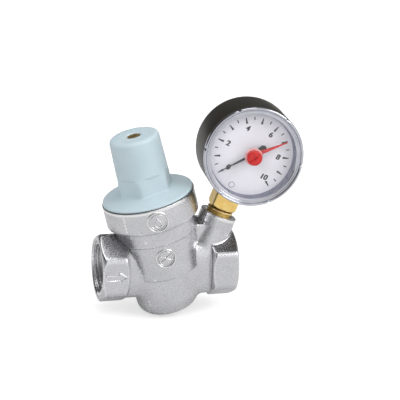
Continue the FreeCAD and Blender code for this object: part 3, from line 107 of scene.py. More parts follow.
# ---- Finishes ----
class NodeBoard:
    """A small helper that adds and links nodes in one node tree."""

    def __init__(self, tree: bpy.types.NodeTree) -> None:
        """Start an empty board on a tree."""
        self.tree = tree
        tree.nodes.clear()

    def add(self, kind: str, inputs: dict[Any, Any] | None = None, **settings: Any) -> bpy.types.Node:
        """Add a node.

        Args:
            kind: The node's type name.
            inputs: Values or output sockets for the node's inputs, by name or index.
            settings: Attributes of the node.

        Returns:
            The new node.
        """
        node = self.tree.nodes.new(kind)
        for key, value in settings.items():
            setattr(node, key, value)
        for key, value in (inputs or {}).items():
            if isinstance(value, bpy.types.NodeSocket):
                self.tree.links.new(value, node.inputs[key])
            else:
                node.inputs[key].default_value = value
        return node

    def math(self, operation: str, *values: Any) -> bpy.types.NodeSocket:
        """Return the output of a Math node."""
        inputs = dict(enumerate(values))
        return self.add("ShaderNodeMath", inputs, operation=operation).outputs[0]

    def map_range(self, value: Any, source: tuple[float, float], target: tuple[float, float]) -> bpy.types.NodeSocket:
        """Return a value moved from one range to another, clamped."""
        inputs = {0: value, 1: source[0], 2: source[1], 3: target[0], 4: target[1]}
        return self.add("ShaderNodeMapRange", inputs).outputs[0]

    def noise(self, vector: bpy.types.NodeSocket, size_mm: float, detail: float) -> bpy.types.NodeSocket:
        """Return a noise value whose features are about size_mm across."""
        inputs = {"Vector": vector, "Scale": 1.0 / (size_mm * MM), "Detail": detail}
        return self.add("ShaderNodeTexNoise", inputs).outputs[0]

    def mix_color(self, factor: Any, first: Any, second: Any) -> bpy.types.NodeSocket:
        """Return the mix of two colours."""
        inputs = {0: factor, 6: first, 7: second}
        return self.add("ShaderNodeMix", inputs, data_type="RGBA").outputs[2]


@dataclass(frozen=True)
class Finish:
    """One surface finish, made of noise on the piece's own coordinates.

    Attributes:
        slot: The material slot the finish belongs to.
        color: Base colour.
        tint: Colour of the patches that vary it.
        metallic: 1 for bare metal.
        roughness: Lowest and highest roughness.
        patch: Size of the colour patches.
        grain: Size of the bump's grain.
        relief: Height of the bump.
        stretch: Scale of the grain along each axis.
        speckle: How far the fine grain darkens the colour.
        wear: How far a painted highlight brightens convex edges and painted shade darkens hollows and creases.
        coat: Weight of a clear coat.
        alpha: Opacity.
        subsurface: Weight of light scattered inside.
        specular: Specular level.
        variant: What sets it apart from the slot's main finish.
    """

    slot: Slot
    color: tuple[float, float, float]
    tint: tuple[float, float, float]
    metallic: float = 0.0
    roughness: tuple[float, float] = (0.4, 0.5)
    patch: float = 6.0
    grain: float = 0.3
    relief: float = 0.01
    stretch: tuple[float, float, float] = (1.0, 1.0, 1.0)
    speckle: float = 0.0
    wear: float = 0.0
    coat: float = 0.0
    alpha: float = 1.0
    subsurface: float = 0.0
    specular: float = 0.5
    variant: str = ""

    def material(self) -> bpy.types.Material:
        """Build the finish's material, or return it if it is built already."""
        name = "finish_" + self.slot.value + self.variant
        if name in bpy.data.materials:
            return bpy.data.materials[name]
        material = bpy.data.materials.new(name)
        material.use_nodes = True
        board = NodeBoard(material.node_tree)
        place = board.add("ShaderNodeTexCoord").outputs["Object"]
        stretched = board.add("ShaderNodeMapping", {"Vector": place, "Scale": self.stretch}).outputs[0]
        patches = board.map_range(board.noise(place, self.patch, 3.0), (0.35, 0.65), (0.0, 1.0))
        grain = board.noise(stretched, self.grain, 3.0)
        color = board.mix_color(patches, (*self.color, 1), (*self.tint, 1))
        roughness = board.map_range(board.noise(stretched, 2.6 * self.grain, 2.0), (0.3, 0.7), self.roughness)
        if self.speckle:
            dark = tuple(channel * (1 - self.speckle) for channel in self.color)
            color = board.mix_color(board.map_range(grain, (0.32, 0.47), (1.0, 0.0)), color, (*dark, 1))
        if self.wear:
            # Painted light: the ambient occlusion term paints shade into hollows and creases, and pointiness paints a
            # near-white highlight along convex edges.
            point = board.add("ShaderNodeNewGeometry").outputs["Pointiness"]
            crease_shade_ao = board.add("ShaderNodeAmbientOcclusion", {"Distance": 0.002}, samples=8, only_local=True)
            hollow = board.map_range(crease_shade_ao.outputs["AO"], (0.45, 0.92), (1.5 * self.wear, 0.0))
            ridge = board.map_range(point, (0.508, 0.56), (0.0, self.wear))
            color = board.mix_color(hollow, color, (*(0.3 * channel for channel in self.color), 1))
            color = board.mix_color(ridge, color, (0.97, 0.97, 0.97, 1))
            roughness = board.math("SUBTRACT", roughness, board.math("MULTIPLY", ridge, 0.15))
        bump = board.add("ShaderNodeBump", {"Strength": 1.0, "Distance": self.relief * MM, "Height": grain})
        shader = board.add("ShaderNodeBsdfPrincipled", {
            "Base Color": color,
            "Metallic": self.metallic,
            "Roughness": roughness,
            "Normal": bump.outputs[0],
            "Alpha": self.alpha,
            "Coat Weight": self.coat,
            "Coat Roughness": 0.12,
            "Subsurface Weight": self.subsurface,
            "Subsurface Scale": 0.001,
            "Specular IOR Level": self.specular,
        })
        board.add("ShaderNodeOutputMaterial", {0: shader.outputs[0]})
        return material


# The casting and the brass get painted highlights on convex edges and painted shade in hollows from their last setting.
FINISHES: dict[Slot, Finish] = {finish.slot: finish for finish in (
    Finish(Slot.CASTING, (0.70, 0.70, 0.725), (0.64, 0.64, 0.665), 0.96, (0.20, 0.32), 9.0, 0.30, 0.06,
           speckle=0.3, wear=0.8),
    Finish(Slot.COVER, (0.495, 0.60, 0.645), (0.47, 0.575, 0.62), 0.0, (0.42, 0.55), 9.0, 0.25, 0.006,
           subsurface=0.08, specular=0.35),
    Finish(Slot.BRASS, (1.0, 0.74, 0.28), (0.94, 0.64, 0.20), 1.0, (0.26, 0.40), 2.5, 0.22, 0.012, speckle=0.2,
           wear=0.3),
    Finish(Slot.STAINLESS, (0.62, 0.62, 0.62), (0.55, 0.55, 0.56), 1.0, (0.22, 0.38), 4.0, 0.18, 0.004,
           (1.0, 1.0, 8.0)),
    Finish(Slot.SPRING, (0.30, 0.31, 0.33), (0.22, 0.23, 0.25), 1.0, (0.30, 0.45), 3.0, 0.2, 0.004),
    Finish(Slot.RUBBER, (0.022, 0.022, 0.022), (0.035, 0.034, 0.033), 0.0, (0.65, 0.8), 3.0, 0.2, 0.006),
    Finish(Slot.CARTRIDGE, (0.035, 0.036, 0.04), (0.05, 0.05, 0.055), 0.0, (0.45, 0.6), 5.0, 0.25, 0.005),
    Finish(Slot.RING, (0.74, 0.74, 0.70), (0.68, 0.68, 0.64), 0.0, (0.45, 0.6), 4.0, 0.25, 0.005),
    Finish(Slot.CASE, (0.022, 0.019, 0.014), (0.030, 0.026, 0.019), 0.0, (0.30, 0.40), 8.0, 0.35, 0.005,
           specular=0.25),
    Finish(Slot.CHROME, (0.60, 0.61, 0.66), (0.54, 0.55, 0.60), 1.0, (0.08, 0.15), 5.0, 0.5, 0.002),
    Finish(Slot.WINDOW, (0.93, 0.95, 0.98), (0.90, 0.93, 0.97), 0.0, (0.02, 0.05), 9.0, 2.0, 0.001, alpha=0.03),
    Finish(Slot.DIAL, (0.79, 0.78, 0.84), (0.76, 0.75, 0.81), 0.0, (0.45, 0.6), 10.0, 0.3, 0.002, specular=0.25),
    Finish(Slot.INK, (0.016, 0.022, 0.020), (0.024, 0.030, 0.027), 0.0, (0.4, 0.55), 2.0, 0.3, 0.002),
    Finish(Slot.RED, (0.66, 0.014, 0.014), (0.46, 0.008, 0.008), 0.0, (0.22, 0.36), 1.2, 0.5, 0.006, speckle=0.35,
           coat=0.2),
    Finish(Slot.PALE, (0.90, 0.50, 0.50), (0.86, 0.44, 0.44), 0.0, (0.25, 0.35), 2.0, 0.4, 0.003, alpha=0.9,
           subsurface=0.2),
    Finish(Slot.BRONZE, (0.52, 0.30, 0.12), (0.44, 0.25, 0.10), 1.0, (0.32, 0.45), 3.0, 0.2, 0.004),
)}

# A darker copy of the bezel chrome for the ring under the window: painted shade.
PAINTED_SHADE_RING = Finish(Slot.CHROME, (0.34, 0.35, 0.42), (0.28, 0.29, 0.36), 1.0, (0.25, 0.35), 4.0, 0.4, 0.002,
                     variant="_painted_shade")


# ---- Frames and meshes ----
@dataclass(frozen=True)
class Frames:
    """The frames that pieces are drawn in, as millimetre-to-metre matrices."""

    pipe: Matrix
    valve: Matrix
    stem: Matrix
    dial: Matrix

    @staticmethod
    def axes(right: Vector, ahead: Vector, up: Vector, origin: Vector) -> Matrix:
        """Return a frame's matrix from its three axes and its origin in metres."""
        turn = Matrix((right, ahead, up)).transposed().to_4x4()
        return Matrix.Translation(origin) @ turn @ Matrix.Scale(MM, 4)

    @classmethod
    def read(cls, joints: Sequence[dict[str, Any]]) -> "Frames":
        """Work the frames out from the joints' places and axes.

        Args:
            joints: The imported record's joints.

        Returns:
            The frames of the pipe, the valve axis, the gauge stem and the dial.
        """
        joint = {entry["name"]: entry for entry in joints}
        lift = Vector(joint["plug_lift"]["axis"]).normalized()
        screw = Vector(joint["adjusting_screw_turn"]["pos_m"])
        across = Vector((lift.z, 0, -lift.x))
        valve = cls.axes(across, Vector((0, 1, 0)), lift, screw - SCREW_HEIGHT * MM * lift)
        front = -Vector(joint["pointer_turn"]["axis"]).normalized()
        centre = Vector(joint["pointer_turn"]["pos_m"])
        right = Vector(joint["link_pull"]["axis"])
        right = (right - right.dot(front) * front).normalized()
        up = front.cross(right)
        rim = centre - (STEM_RISE * up + DIAL_FORWARD * front) * MM
        stem = cls.axes(right, -front, up, rim)
        return cls(Matrix.Scale(MM, 4), valve, stem, cls.axes(right, up, front, centre))


def to_local(points: np.ndarray, matrix: Matrix) -> np.ndarray:
    """Return pipe-frame millimetre points in another frame's millimetres."""
    inverse = np.array(matrix.inverted() @ Matrix.Scale(MM, 4))
    return points @ inverse[:3, :3].T + inverse[:3, 3]


def round_axis(points: np.ndarray, matrix: Matrix) -> tuple[np.ndarray, np.ndarray]:
    """Return the radius and the height of pipe-frame points about another frame's axis."""
    local = to_local(points, matrix)
    return np.hypot(local[:, 0], local[:, 1]), local[:, 2]


def add_mesh(name: str, shell: Shell, matrix: Matrix, finish: Finish, sharp: float = 35.0,
             recalculate: bool = False) -> bpy.types.Object:
    """Make an object from a shell, with its place in its mesh.

    Args:
        name: The object's name.
        shell: Vertices in the frame's millimetres, and faces.
        matrix: The frame's matrix.
        finish: The finish it gets.
        sharp: Edges sharper than this many degrees stay sharp.
        recalculate: True to turn every face outwards.

    Returns:
        The new object.
    """
    vertices, faces = shell
    placed = np.asarray(vertices, float) @ np.array(matrix)[:3, :3].T + np.array(matrix)[:3, 3]
    mesh = bpy.data.meshes.new(name)
    mesh.from_pydata(placed.tolist(), [], [list(face) for face in faces])
    return finish_object(name, mesh, finish, sharp, recalculate)


def finish_object(name: str, mesh: bpy.types.Mesh, finish: Finish, sharp: float,
                  recalculate: bool = False) -> bpy.types.Object:
    """Link a mesh as an object with smooth faces, sharp edges and its material."""
    if recalculate:
        work = bmesh.new()
        work.from_mesh(mesh)
        bmesh.ops.remove_doubles(work, verts=work.verts, dist=1e-7)
        bmesh.ops.recalc_face_normals(work, faces=work.faces)
        work.to_mesh(mesh)
        work.free()
    mesh.validate()
    mesh.shade_smooth()
    mesh.set_sharp_from_angle(angle=math.radians(sharp))
    mesh.materials.clear()
    mesh.materials.append(finish.material())
    piece = bpy.data.objects.new(name, mesh)
    bpy.context.scene.collection.objects.link(piece)
    return piece


def evaluated_mesh(host: bpy.types.Object) -> bpy.types.Mesh:
    """Return an object's evaluated mesh, and remove the object."""
    graph = bpy.context.evaluated_depsgraph_get()
    mesh = bpy.data.meshes.new_from_object(host.evaluated_get(graph), depsgraph=graph)
    bpy.data.objects.remove(host)
    return mesh


def settle(piece: bpy.types.Object, body: Body, slot: Slot, *nodes: str) -> bpy.types.Object:
    """Make a piece ride on a body, and hide the CAD nodes it stands for."""
    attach(piece, body.value)
    if nodes:
        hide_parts(*nodes)
    return piece


def rounded(points: Sequence[Sequence[float]], closed: bool = True, steps: int = 5) -> Outline:
    """Round the corners of an outline.

    Args:
        points: (r, z) or (r, z, corner radius) points.
        closed: True if the last point joins the first.
        steps: Segments in each rounded corner.

    Returns:
        The outline with arcs in place of its rounded corners.
    """
    result: Outline = []
    count = len(points)
    for i, point in enumerate(points):
        here = Vector(point[:2])
        radius = point[2] if len(point) > 2 else 0.0
        if radius <= 0 or (not closed and i in (0, count - 1)):
            result.append(tuple(here))
            continue
        back = (Vector(points[i - 1][:2]) - here).normalized()
        ahead = (Vector(points[(i + 1) % count][:2]) - here).normalized()
        half = back.angle(ahead) / 2
        run = radius / math.tan(half)
        centre = here + (back + ahead).normalized() * (radius / math.sin(half))
        start, finish = here + back * run - centre, here + ahead * run - centre
        sweep = start.angle_signed(finish)
        for step in range(steps + 1):
            angle = -sweep * step / steps
            turned = Matrix.Rotation(angle, 2) @ start
            result.append(tuple(centre + turned))
    return result


def lathe(profile: Outline, segments: int, closed: bool = True,
          dent: Callable[[float, float, float], float] | None = None) -> Shell:
    """Turn a counter-clockwise (r, z) profile about Z.

    Args:
        profile: The section, closed on itself or from axis to axis.
        segments: Steps round the axis.
        closed: True if the section closes on itself.
        dent: Radius to add at (r, z, angle), if any.

    Returns:
        The turned shell.
    """
    rings: list[list[int]] = []
    vertices: list[tuple[float, float, float]] = []
    for radius, height in profile:
        if radius < 1e-6:
            rings.append([len(vertices)] * segments)
            vertices.append((0.0, 0.0, height))
            continue
        ring = []
        for j in range(segments):
            angle = 2 * math.pi * j / segments
            r = radius + (dent(radius, height, angle) if dent else 0.0)
            ring.append(len(vertices))
            vertices.append((r * math.cos(angle), r * math.sin(angle), height))
        rings.append(ring)
    faces = []
    count = len(rings)
    for i in range(count if closed else count - 1):
        low, high = rings[i], rings[(i + 1) % count]
        for j in range(segments):
            k = (j + 1) % segments
            corners = [low[j], low[k], high[k], high[j]]
            face = [c for n, c in enumerate(corners) if c not in corners[:n]]
            if len(face) > 2:
                faces.append(face)
    return np.array(vertices), faces


def plate(outline: Sequence[tuple[float, float]], low: float, high: float) -> Shell:
    """Return a flat plate with slightly rounded edges from a counter-clockwise outline."""
    edge = min(0.12, 0.3 * (high - low))
    points = np.array(outline)
    ahead = np.roll(points, -1, 0) - points
    normal = np.stack([ahead[:, 1], -ahead[:, 0]], 1)
    normal /= np.linalg.norm(normal, axis=1)[:, None]
    corner = normal + np.roll(normal, 1, 0)
    corner /= np.maximum(np.linalg.norm(corner, axis=1), 0.2)[:, None]
    inner = points - corner * edge
    layers = [(inner, low), (points, low + edge), (points, high - edge), (inner, high)]
    vertices = np.concatenate([np.c_[layer, np.full(len(layer), z)] for layer, z in layers])
    count = len(points)
    faces: list[list[int]] = [list(range(count))[::-1], [3 * count + i for i in range(count)]]
    for ring in range(3):
        for i in range(count):
            j = (i + 1) % count
            faces.append([ring * count + i, ring * count + j, (ring + 1) * count + j, (ring + 1) * count + i])
    return vertices, faces


def bead(path: Sequence[tuple[float, float]], width: float, height: float, closed: bool = True) -> Shell:
    """Return a raised half-round line along a path, as (across, along, outwards) points."""
    points = np.array(path)
    ahead = np.roll(points, -1, 0) - np.roll(points, 1, 0)
    if not closed:
        ahead[0], ahead[-1] = points[1] - points[0], points[-1] - points[-2]
    side = np.stack([ahead[:, 1], -ahead[:, 0]], 1)
    side /= np.linalg.norm(side, axis=1)[:, None]
    section = [(-0.5, -0.6)]
    section += [(-0.5 * math.cos(math.pi * i / 6), math.sin(math.pi * i / 6)) for i in range(7)]
    section += [(0.5, -0.6)]
    layers = [np.c_[points + side * across * width, np.full(len(points), out * height)] for across, out in section]
    count, rows = len(points), len(section)
    vertices = np.concatenate(layers)
    faces = []
    for row in range(rows):
        after = (row + 1) % rows
        for i in range(count if closed else count - 1):
            j = (i + 1) % count
            faces.append([row * count + i, row * count + j, after * count + j, after * count + i])
    if not closed:
        faces += [[row * count for row in range(rows)], [row * count + count - 1 for row in range(rows)]]
    return vertices, faces


def joined(*shells: Shell) -> Shell:
    """Return several shells as one."""
    vertices = np.concatenate([shell[0] for shell in shells])
    faces: list[list[int]] = []
    offset = 0
    for points, polygons in shells:
        faces += [[offset + i for i in polygon] for polygon in polygons]
        offset += len(points)
    return vertices, faces


# ---- Distance fields ----
def soft_min(first: np.ndarray, second: np.ndarray, blend: float) -> np.ndarray:
    """Return the union of two distance fields, filleted over a blend width."""
    share = np.clip(0.5 + 0.5 * (second - first) / blend, 0, 1)
    return second + (first - second) * share - blend * share * (1 - share)


def soft_max(first: np.ndarray, second: np.ndarray, blend: float) -> np.ndarray:
    """Return the overlap of two distance fields, rounded over a blend width."""
    return -soft_min(-first, -second, blend)


def cone_field(radius: np.ndarray, height: np.ndarray, low: tuple[float, float], high: tuple[float, float],
               edges: tuple[float, float]) -> np.ndarray:
    """Return the field of a cone frustum.

    Args:
        radius: Distance of each point from the axis.
        height: Height of each point along the axis.
        low: Radius and height of the lower end.
        high: Radius and height of the upper end.
        edges: Rounding at the lower and the upper edge.

    Returns:
        The distance of each point from the frustum.
    """
    slope = (high[0] - low[0]) / (high[1] - low[1])
    side = (radius - low[0] - slope * (height - low[1])) / math.hypot(1, slope)
    return soft_max(soft_max(side, low[1] - height, edges[0]), height - high[1], edges[1])


def prism_field(first: np.ndarray, second: np.ndarray, sides: int, half_flats: float, turn: float,
                blend: float) -> np.ndarray:
    """Return the field of an endless prism, with one flat's normal at the given turn in degrees."""
    result: np.ndarray | None = None
    for i in range(sides // 2):
        angle = math.radians(turn) + 2 * math.pi * i / sides
        flat = np.abs(first * math.cos(angle) + second * math.sin(angle)) - half_flats
        result = flat if result is None else soft_max(result, flat, blend)
    return result


@dataclass(frozen=True)
class SurfaceNet:
    """Meshes a distance field, with one vertex in each cell that the surface crosses."""

    low: tuple[float, float, float]
    high: tuple[float, float, float]
    step: float

    def mesh(self, distance: Callable[[np.ndarray], np.ndarray]) -> Shell:
        """Mesh the surface where a field is zero.

        Args:
            distance: The field, from (n, 3) points to n distances.

        Returns:
            The shell, its faces outwards.
        """
        axes = [np.arange(a, b + self.step, self.step) for a, b in zip(self.low, self.high)]
        grid = np.stack(np.meshgrid(*axes, indexing="ij"), -1)
        shape = grid.shape[:3]
        values = distance(grid.reshape(-1, 3)).reshape(shape)
        inside = values < 0
        cells = tuple(n - 1 for n in shape)
        total = np.zeros((*cells, 3))
        count = np.zeros(cells)
        for axis in range(3):
            others = [a for a in range(3) if a != axis]
            for first in (0, 1):
                for second in (0, 1):
                    start = [0, 0, 0]
                    start[others[0]], start[others[1]] = first, second
                    finish = list(start)
                    finish[axis] = 1
                    a = tuple(slice(s, s + n) for s, n in zip(start, cells))
                    b = tuple(slice(s, s + n) for s, n in zip(finish, cells))
                    crossed = inside[a] != inside[b]
                    span = np.where(crossed, values[a] - values[b], 1.0)
                    share = np.where(crossed, values[a] / span, 0.0)
                    count += crossed
                    for other in others:
                        total[..., other] += crossed * start[other]
                    total[..., axis] += share
        active = count > 0
        number = np.full(cells, -1)
        number[active] = np.arange(int(active.sum()))
        corner = np.argwhere(active)
        points = (corner + total[active] / count[active][:, None]) * self.step + np.array(self.low)
        faces = np.concatenate([self._faces(inside, number, axis) for axis in range(3)])
        return self._relax(points, faces, distance), faces

    @staticmethod
    def _faces(inside: np.ndarray, number: np.ndarray, axis: int) -> np.ndarray:
        """Return the quads round the crossed grid edges along one axis."""
        first, second = (axis + 1) % 3, (axis + 2) % 3
        ahead = np.roll(inside, -1, axis)
        crossed = inside != ahead
        index = [slice(1, -1)] * 3
        index[axis] = slice(0, -1)
        mask = np.zeros_like(crossed)
        mask[tuple(index)] = crossed[tuple(index)]
        where = np.argwhere(mask)
        quads = []
        for back_first, back_second in ((1, 1), (0, 1), (0, 0), (1, 0)):
            cell = where.copy()
            cell[:, first] -= back_first
            cell[:, second] -= back_second
            quads.append(number[tuple(cell.T)])
        faces = np.stack(quads, 1)
        flip = ~inside[tuple(where.T)]
        faces[flip] = faces[flip][:, ::-1]
        return faces

    def _relax(self, points: np.ndarray, faces: np.ndarray,
               distance: Callable[[np.ndarray], np.ndarray]) -> np.ndarray:
        """Even the mesh out and pull every vertex onto the surface."""
        for _ in range(3):
            centre = points[faces].mean(1)
            total = np.zeros_like(points)
            weight = np.bincount(faces.ravel(), minlength=len(points))
            for axis in range(3):
                total[:, axis] = np.bincount(faces.ravel(), np.repeat(centre[:, axis], 4), len(points))
            points = 0.4 * points + 0.6 * total / weight[:, None]
            for _ in range(2):
                points = self._pull(points, distance)
        return points

    def _pull(self, points: np.ndarray, distance: Callable[[np.ndarray], np.ndarray]) -> np.ndarray:
        """Move each vertex along the field's slope to where the field is zero."""
        nudge = 0.1 * self.step
        slope = np.zeros_like(points)
        for axis in range(3):
            offset = np.zeros(3)
            offset[axis] = nudge
            slope[:, axis] = (distance(points + offset) - distance(points - offset)) / (2 * nudge)
        size = np.maximum((slope ** 2).sum(1), 0.25)
        move = np.clip(distance(points) / size, -0.5 * self.step, 0.5 * self.step)
        return points - move[:, None] * slope


# ---- Geometry Nodes ----
class NodeTool:
    """A Geometry Nodes tree with named inputs, baked to plain meshes."""

    def __init__(self, name: str, inputs: dict[str, str]) -> None:
        """Make the tree and its inputs.

        Args:
            name: The tree's name.
            inputs: The kind of socket for each input's name.
        """
        self.tree = bpy.data.node_groups.new(name, "GeometryNodeTree")
        self.board = NodeBoard(self.tree)
        self.tree.interface.new_socket("Geometry", in_out="OUTPUT", socket_type="NodeSocketGeometry")
        self.keys: dict[str, str] = {}
        for label, kind in {**inputs, "Finish": "NodeSocketMaterial"}.items():
            self.keys[label] = self.tree.interface.new_socket(label, in_out="INPUT", socket_type=kind).identifier
        self.source = self.board.add("NodeGroupInput")

    def value(self, label: str) -> bpy.types.NodeSocket:
        """Return the socket of a named input."""
        return self.source.outputs[label]

    def close(self, geometry: bpy.types.NodeSocket) -> None:
        """End the tree in Realize Instances and Set Material."""
        real = self.board.add("GeometryNodeRealizeInstances", {0: geometry}).outputs[0]
        done = self.board.add("GeometryNodeSetMaterial", {"Geometry": real, "Material": self.value("Finish")})
        self.board.add("NodeGroupOutput", {0: done.outputs[0]})

    def bake(self, values: dict[str, Any], finish: Finish) -> bpy.types.Mesh:
        """Run the tree and return its result as a plain mesh.

        Args:
            values: The value of each named input.
            finish: The finish that the mesh gets.

        Returns:
            The baked mesh, in the tree's own millimetres.
        """
        host = bpy.data.objects.new("host", bpy.data.meshes.new("host"))
        bpy.context.scene.collection.objects.link(host)
        modifier = host.modifiers.new("tool", "NODES")
        modifier.node_group = self.tree
        for label, value in {**values, "Finish": finish.material()}.items():
            modifier[self.keys[label]] = value
        return evaluated_mesh(host)


class RadialBars(NodeTool):
    """Short bars in an arc about Z, wider at one end by a taper."""

    def __init__(self) -> None:
        """Build the tree."""
        number = "NodeSocketFloat"
        super().__init__("radial_bars", {
            "Count": "NodeSocketInt", "Start": number, "Sweep": number, "Radius": number, "Length": number,
            "Width": number, "Height": number, "Taper": number})
        board, value = self.board, self.value
        index = board.add("GeometryNodeInputIndex").outputs[0]
        gaps = board.math("MAXIMUM", board.math("SUBTRACT", value("Count"), 1.0), 1.0)
        fraction = board.math("DIVIDE", index, gaps)
        angle = board.math("ADD", value("Start"), board.math("MULTIPLY", value("Sweep"), fraction))
        spot = board.add("ShaderNodeCombineXYZ", {
            0: board.math("MULTIPLY", value("Radius"), board.math("COSINE", angle)),
            1: board.math("MULTIPLY", value("Radius"), board.math("SINE", angle)),
            2: board.math("MULTIPLY", value("Height"), 0.5)})
        points = board.add("GeometryNodePoints", {"Count": value("Count"), "Position": spot.outputs[0]})
        size = board.add("ShaderNodeCombineXYZ", {0: value("Length"), 1: value("Width"), 2: value("Height")})
        bar = board.add("GeometryNodeMeshCube", {"Size": size.outputs[0]})
        place = board.add("ShaderNodeSeparateXYZ", {0: board.add("GeometryNodeInputPosition").outputs[0]})
        share = board.math("DIVIDE", place.outputs[0], value("Length"))
        shift = board.math("MULTIPLY", place.outputs[1], board.math("MULTIPLY", share, value("Taper")))
        offset = board.add("ShaderNodeCombineXYZ", {1: shift})
        wedge = board.add("GeometryNodeSetPosition", {"Geometry": bar.outputs[0], "Offset": offset.outputs[0]})
        turn = board.add("FunctionNodeEulerToRotation", {0: board.add("ShaderNodeCombineXYZ", {2: angle}).outputs[0]})
        copies = board.add("GeometryNodeInstanceOnPoints", {
            "Points": points.outputs[0], "Instance": wedge.outputs[0], "Rotation": turn.outputs[0]})
        self.close(copies.outputs[0])


class ThreadRidge(NodeTool):
    """One helical ridge about Z that fades out at both ends."""

    def __init__(self) -> None:
        """Build the tree."""
        number = "NodeSocketFloat"
        super().__init__("thread_ridge", {
            "Turns": number, "Pitch": number, "Radius": number, "Depth": number, "Base": number, "Crest": number,
            "Inward": number})
        board, value = self.board, self.value
        height = board.math("MULTIPLY", value("Turns"), value("Pitch"))
        spiral = board.add("GeometryNodeCurveSpiral", {
            "Resolution": 72, "Rotations": value("Turns"), "Start Radius": value("Radius"),
            "End Radius": value("Radius"), "Height": height})
        upright = board.add("GeometryNodeSetCurveNormal", {"Curve": spiral.outputs[0]}, mode="Z_UP")
        along = board.add("GeometryNodeSplineParameter").outputs["Factor"]
        ends = board.math("MINIMUM", along, board.math("SUBTRACT", 1.0, along))
        fade = board.map_range(ends, (0.0, 0.03), (0.15, 1.0))
        faded = board.add("GeometryNodeSetCurveRadius", {"Curve": upright.outputs[0], "Radius": fade})
        section = board.add("GeometryNodeCurvePrimitiveQuadrilateral", {
            "Height": value("Depth"), "Bottom Width": value("Base"), "Top Width": value("Crest"), "Offset": 0.0},
            mode="TRAPEZOID")
        turn = board.add("ShaderNodeCombineXYZ", {2: value("Inward")})
        turned = board.add("GeometryNodeTransform", {"Geometry": section.outputs[0], "Rotation": turn.outputs[0]})
        ridge = board.add("GeometryNodeCurveToMesh", {
            "Curve": faded.outputs[0], "Profile Curve": turned.outputs[0], "Fill Caps": True})
        self.close(ridge.outputs[0])


# ---- Sub-assemblies ----
@dataclass
class Assembly:
    """What every sub-assembly is built with."""

    frames: Frames
    bars: RadialBars
    ridge: ThreadRidge

    def bake(self, tool: NodeTool, name: str, values: dict[str, Any], slot: Slot, matrix: Matrix,
             sharp: float = 35.0) -> bpy.types.Object:
        """Bake a tree's result, place it and return it as an object."""
        mesh = tool.bake(values, FINISHES[slot])
        mesh.transform(matrix)
        return finish_object(name, mesh, FINISHES[slot], sharp, True)

    @staticmethod
    def fixed(name: str, shell: Shell, matrix: Matrix, slot: Slot, sharp: float, *nodes: str,
              recalculate: bool = False) -> bpy.types.Object:
        """Make a piece that stays on the valve, and hide the CAD nodes it stands for."""
        piece = add_mesh(name, shell, matrix, FINISHES[slot], sharp, recalculate)
        return settle(piece, Body.VALVE, slot, *nodes)

    def build(self) -> list[bpy.types.Object]:
        """Build the sub-assembly's pieces."""
        raise NotImplementedError


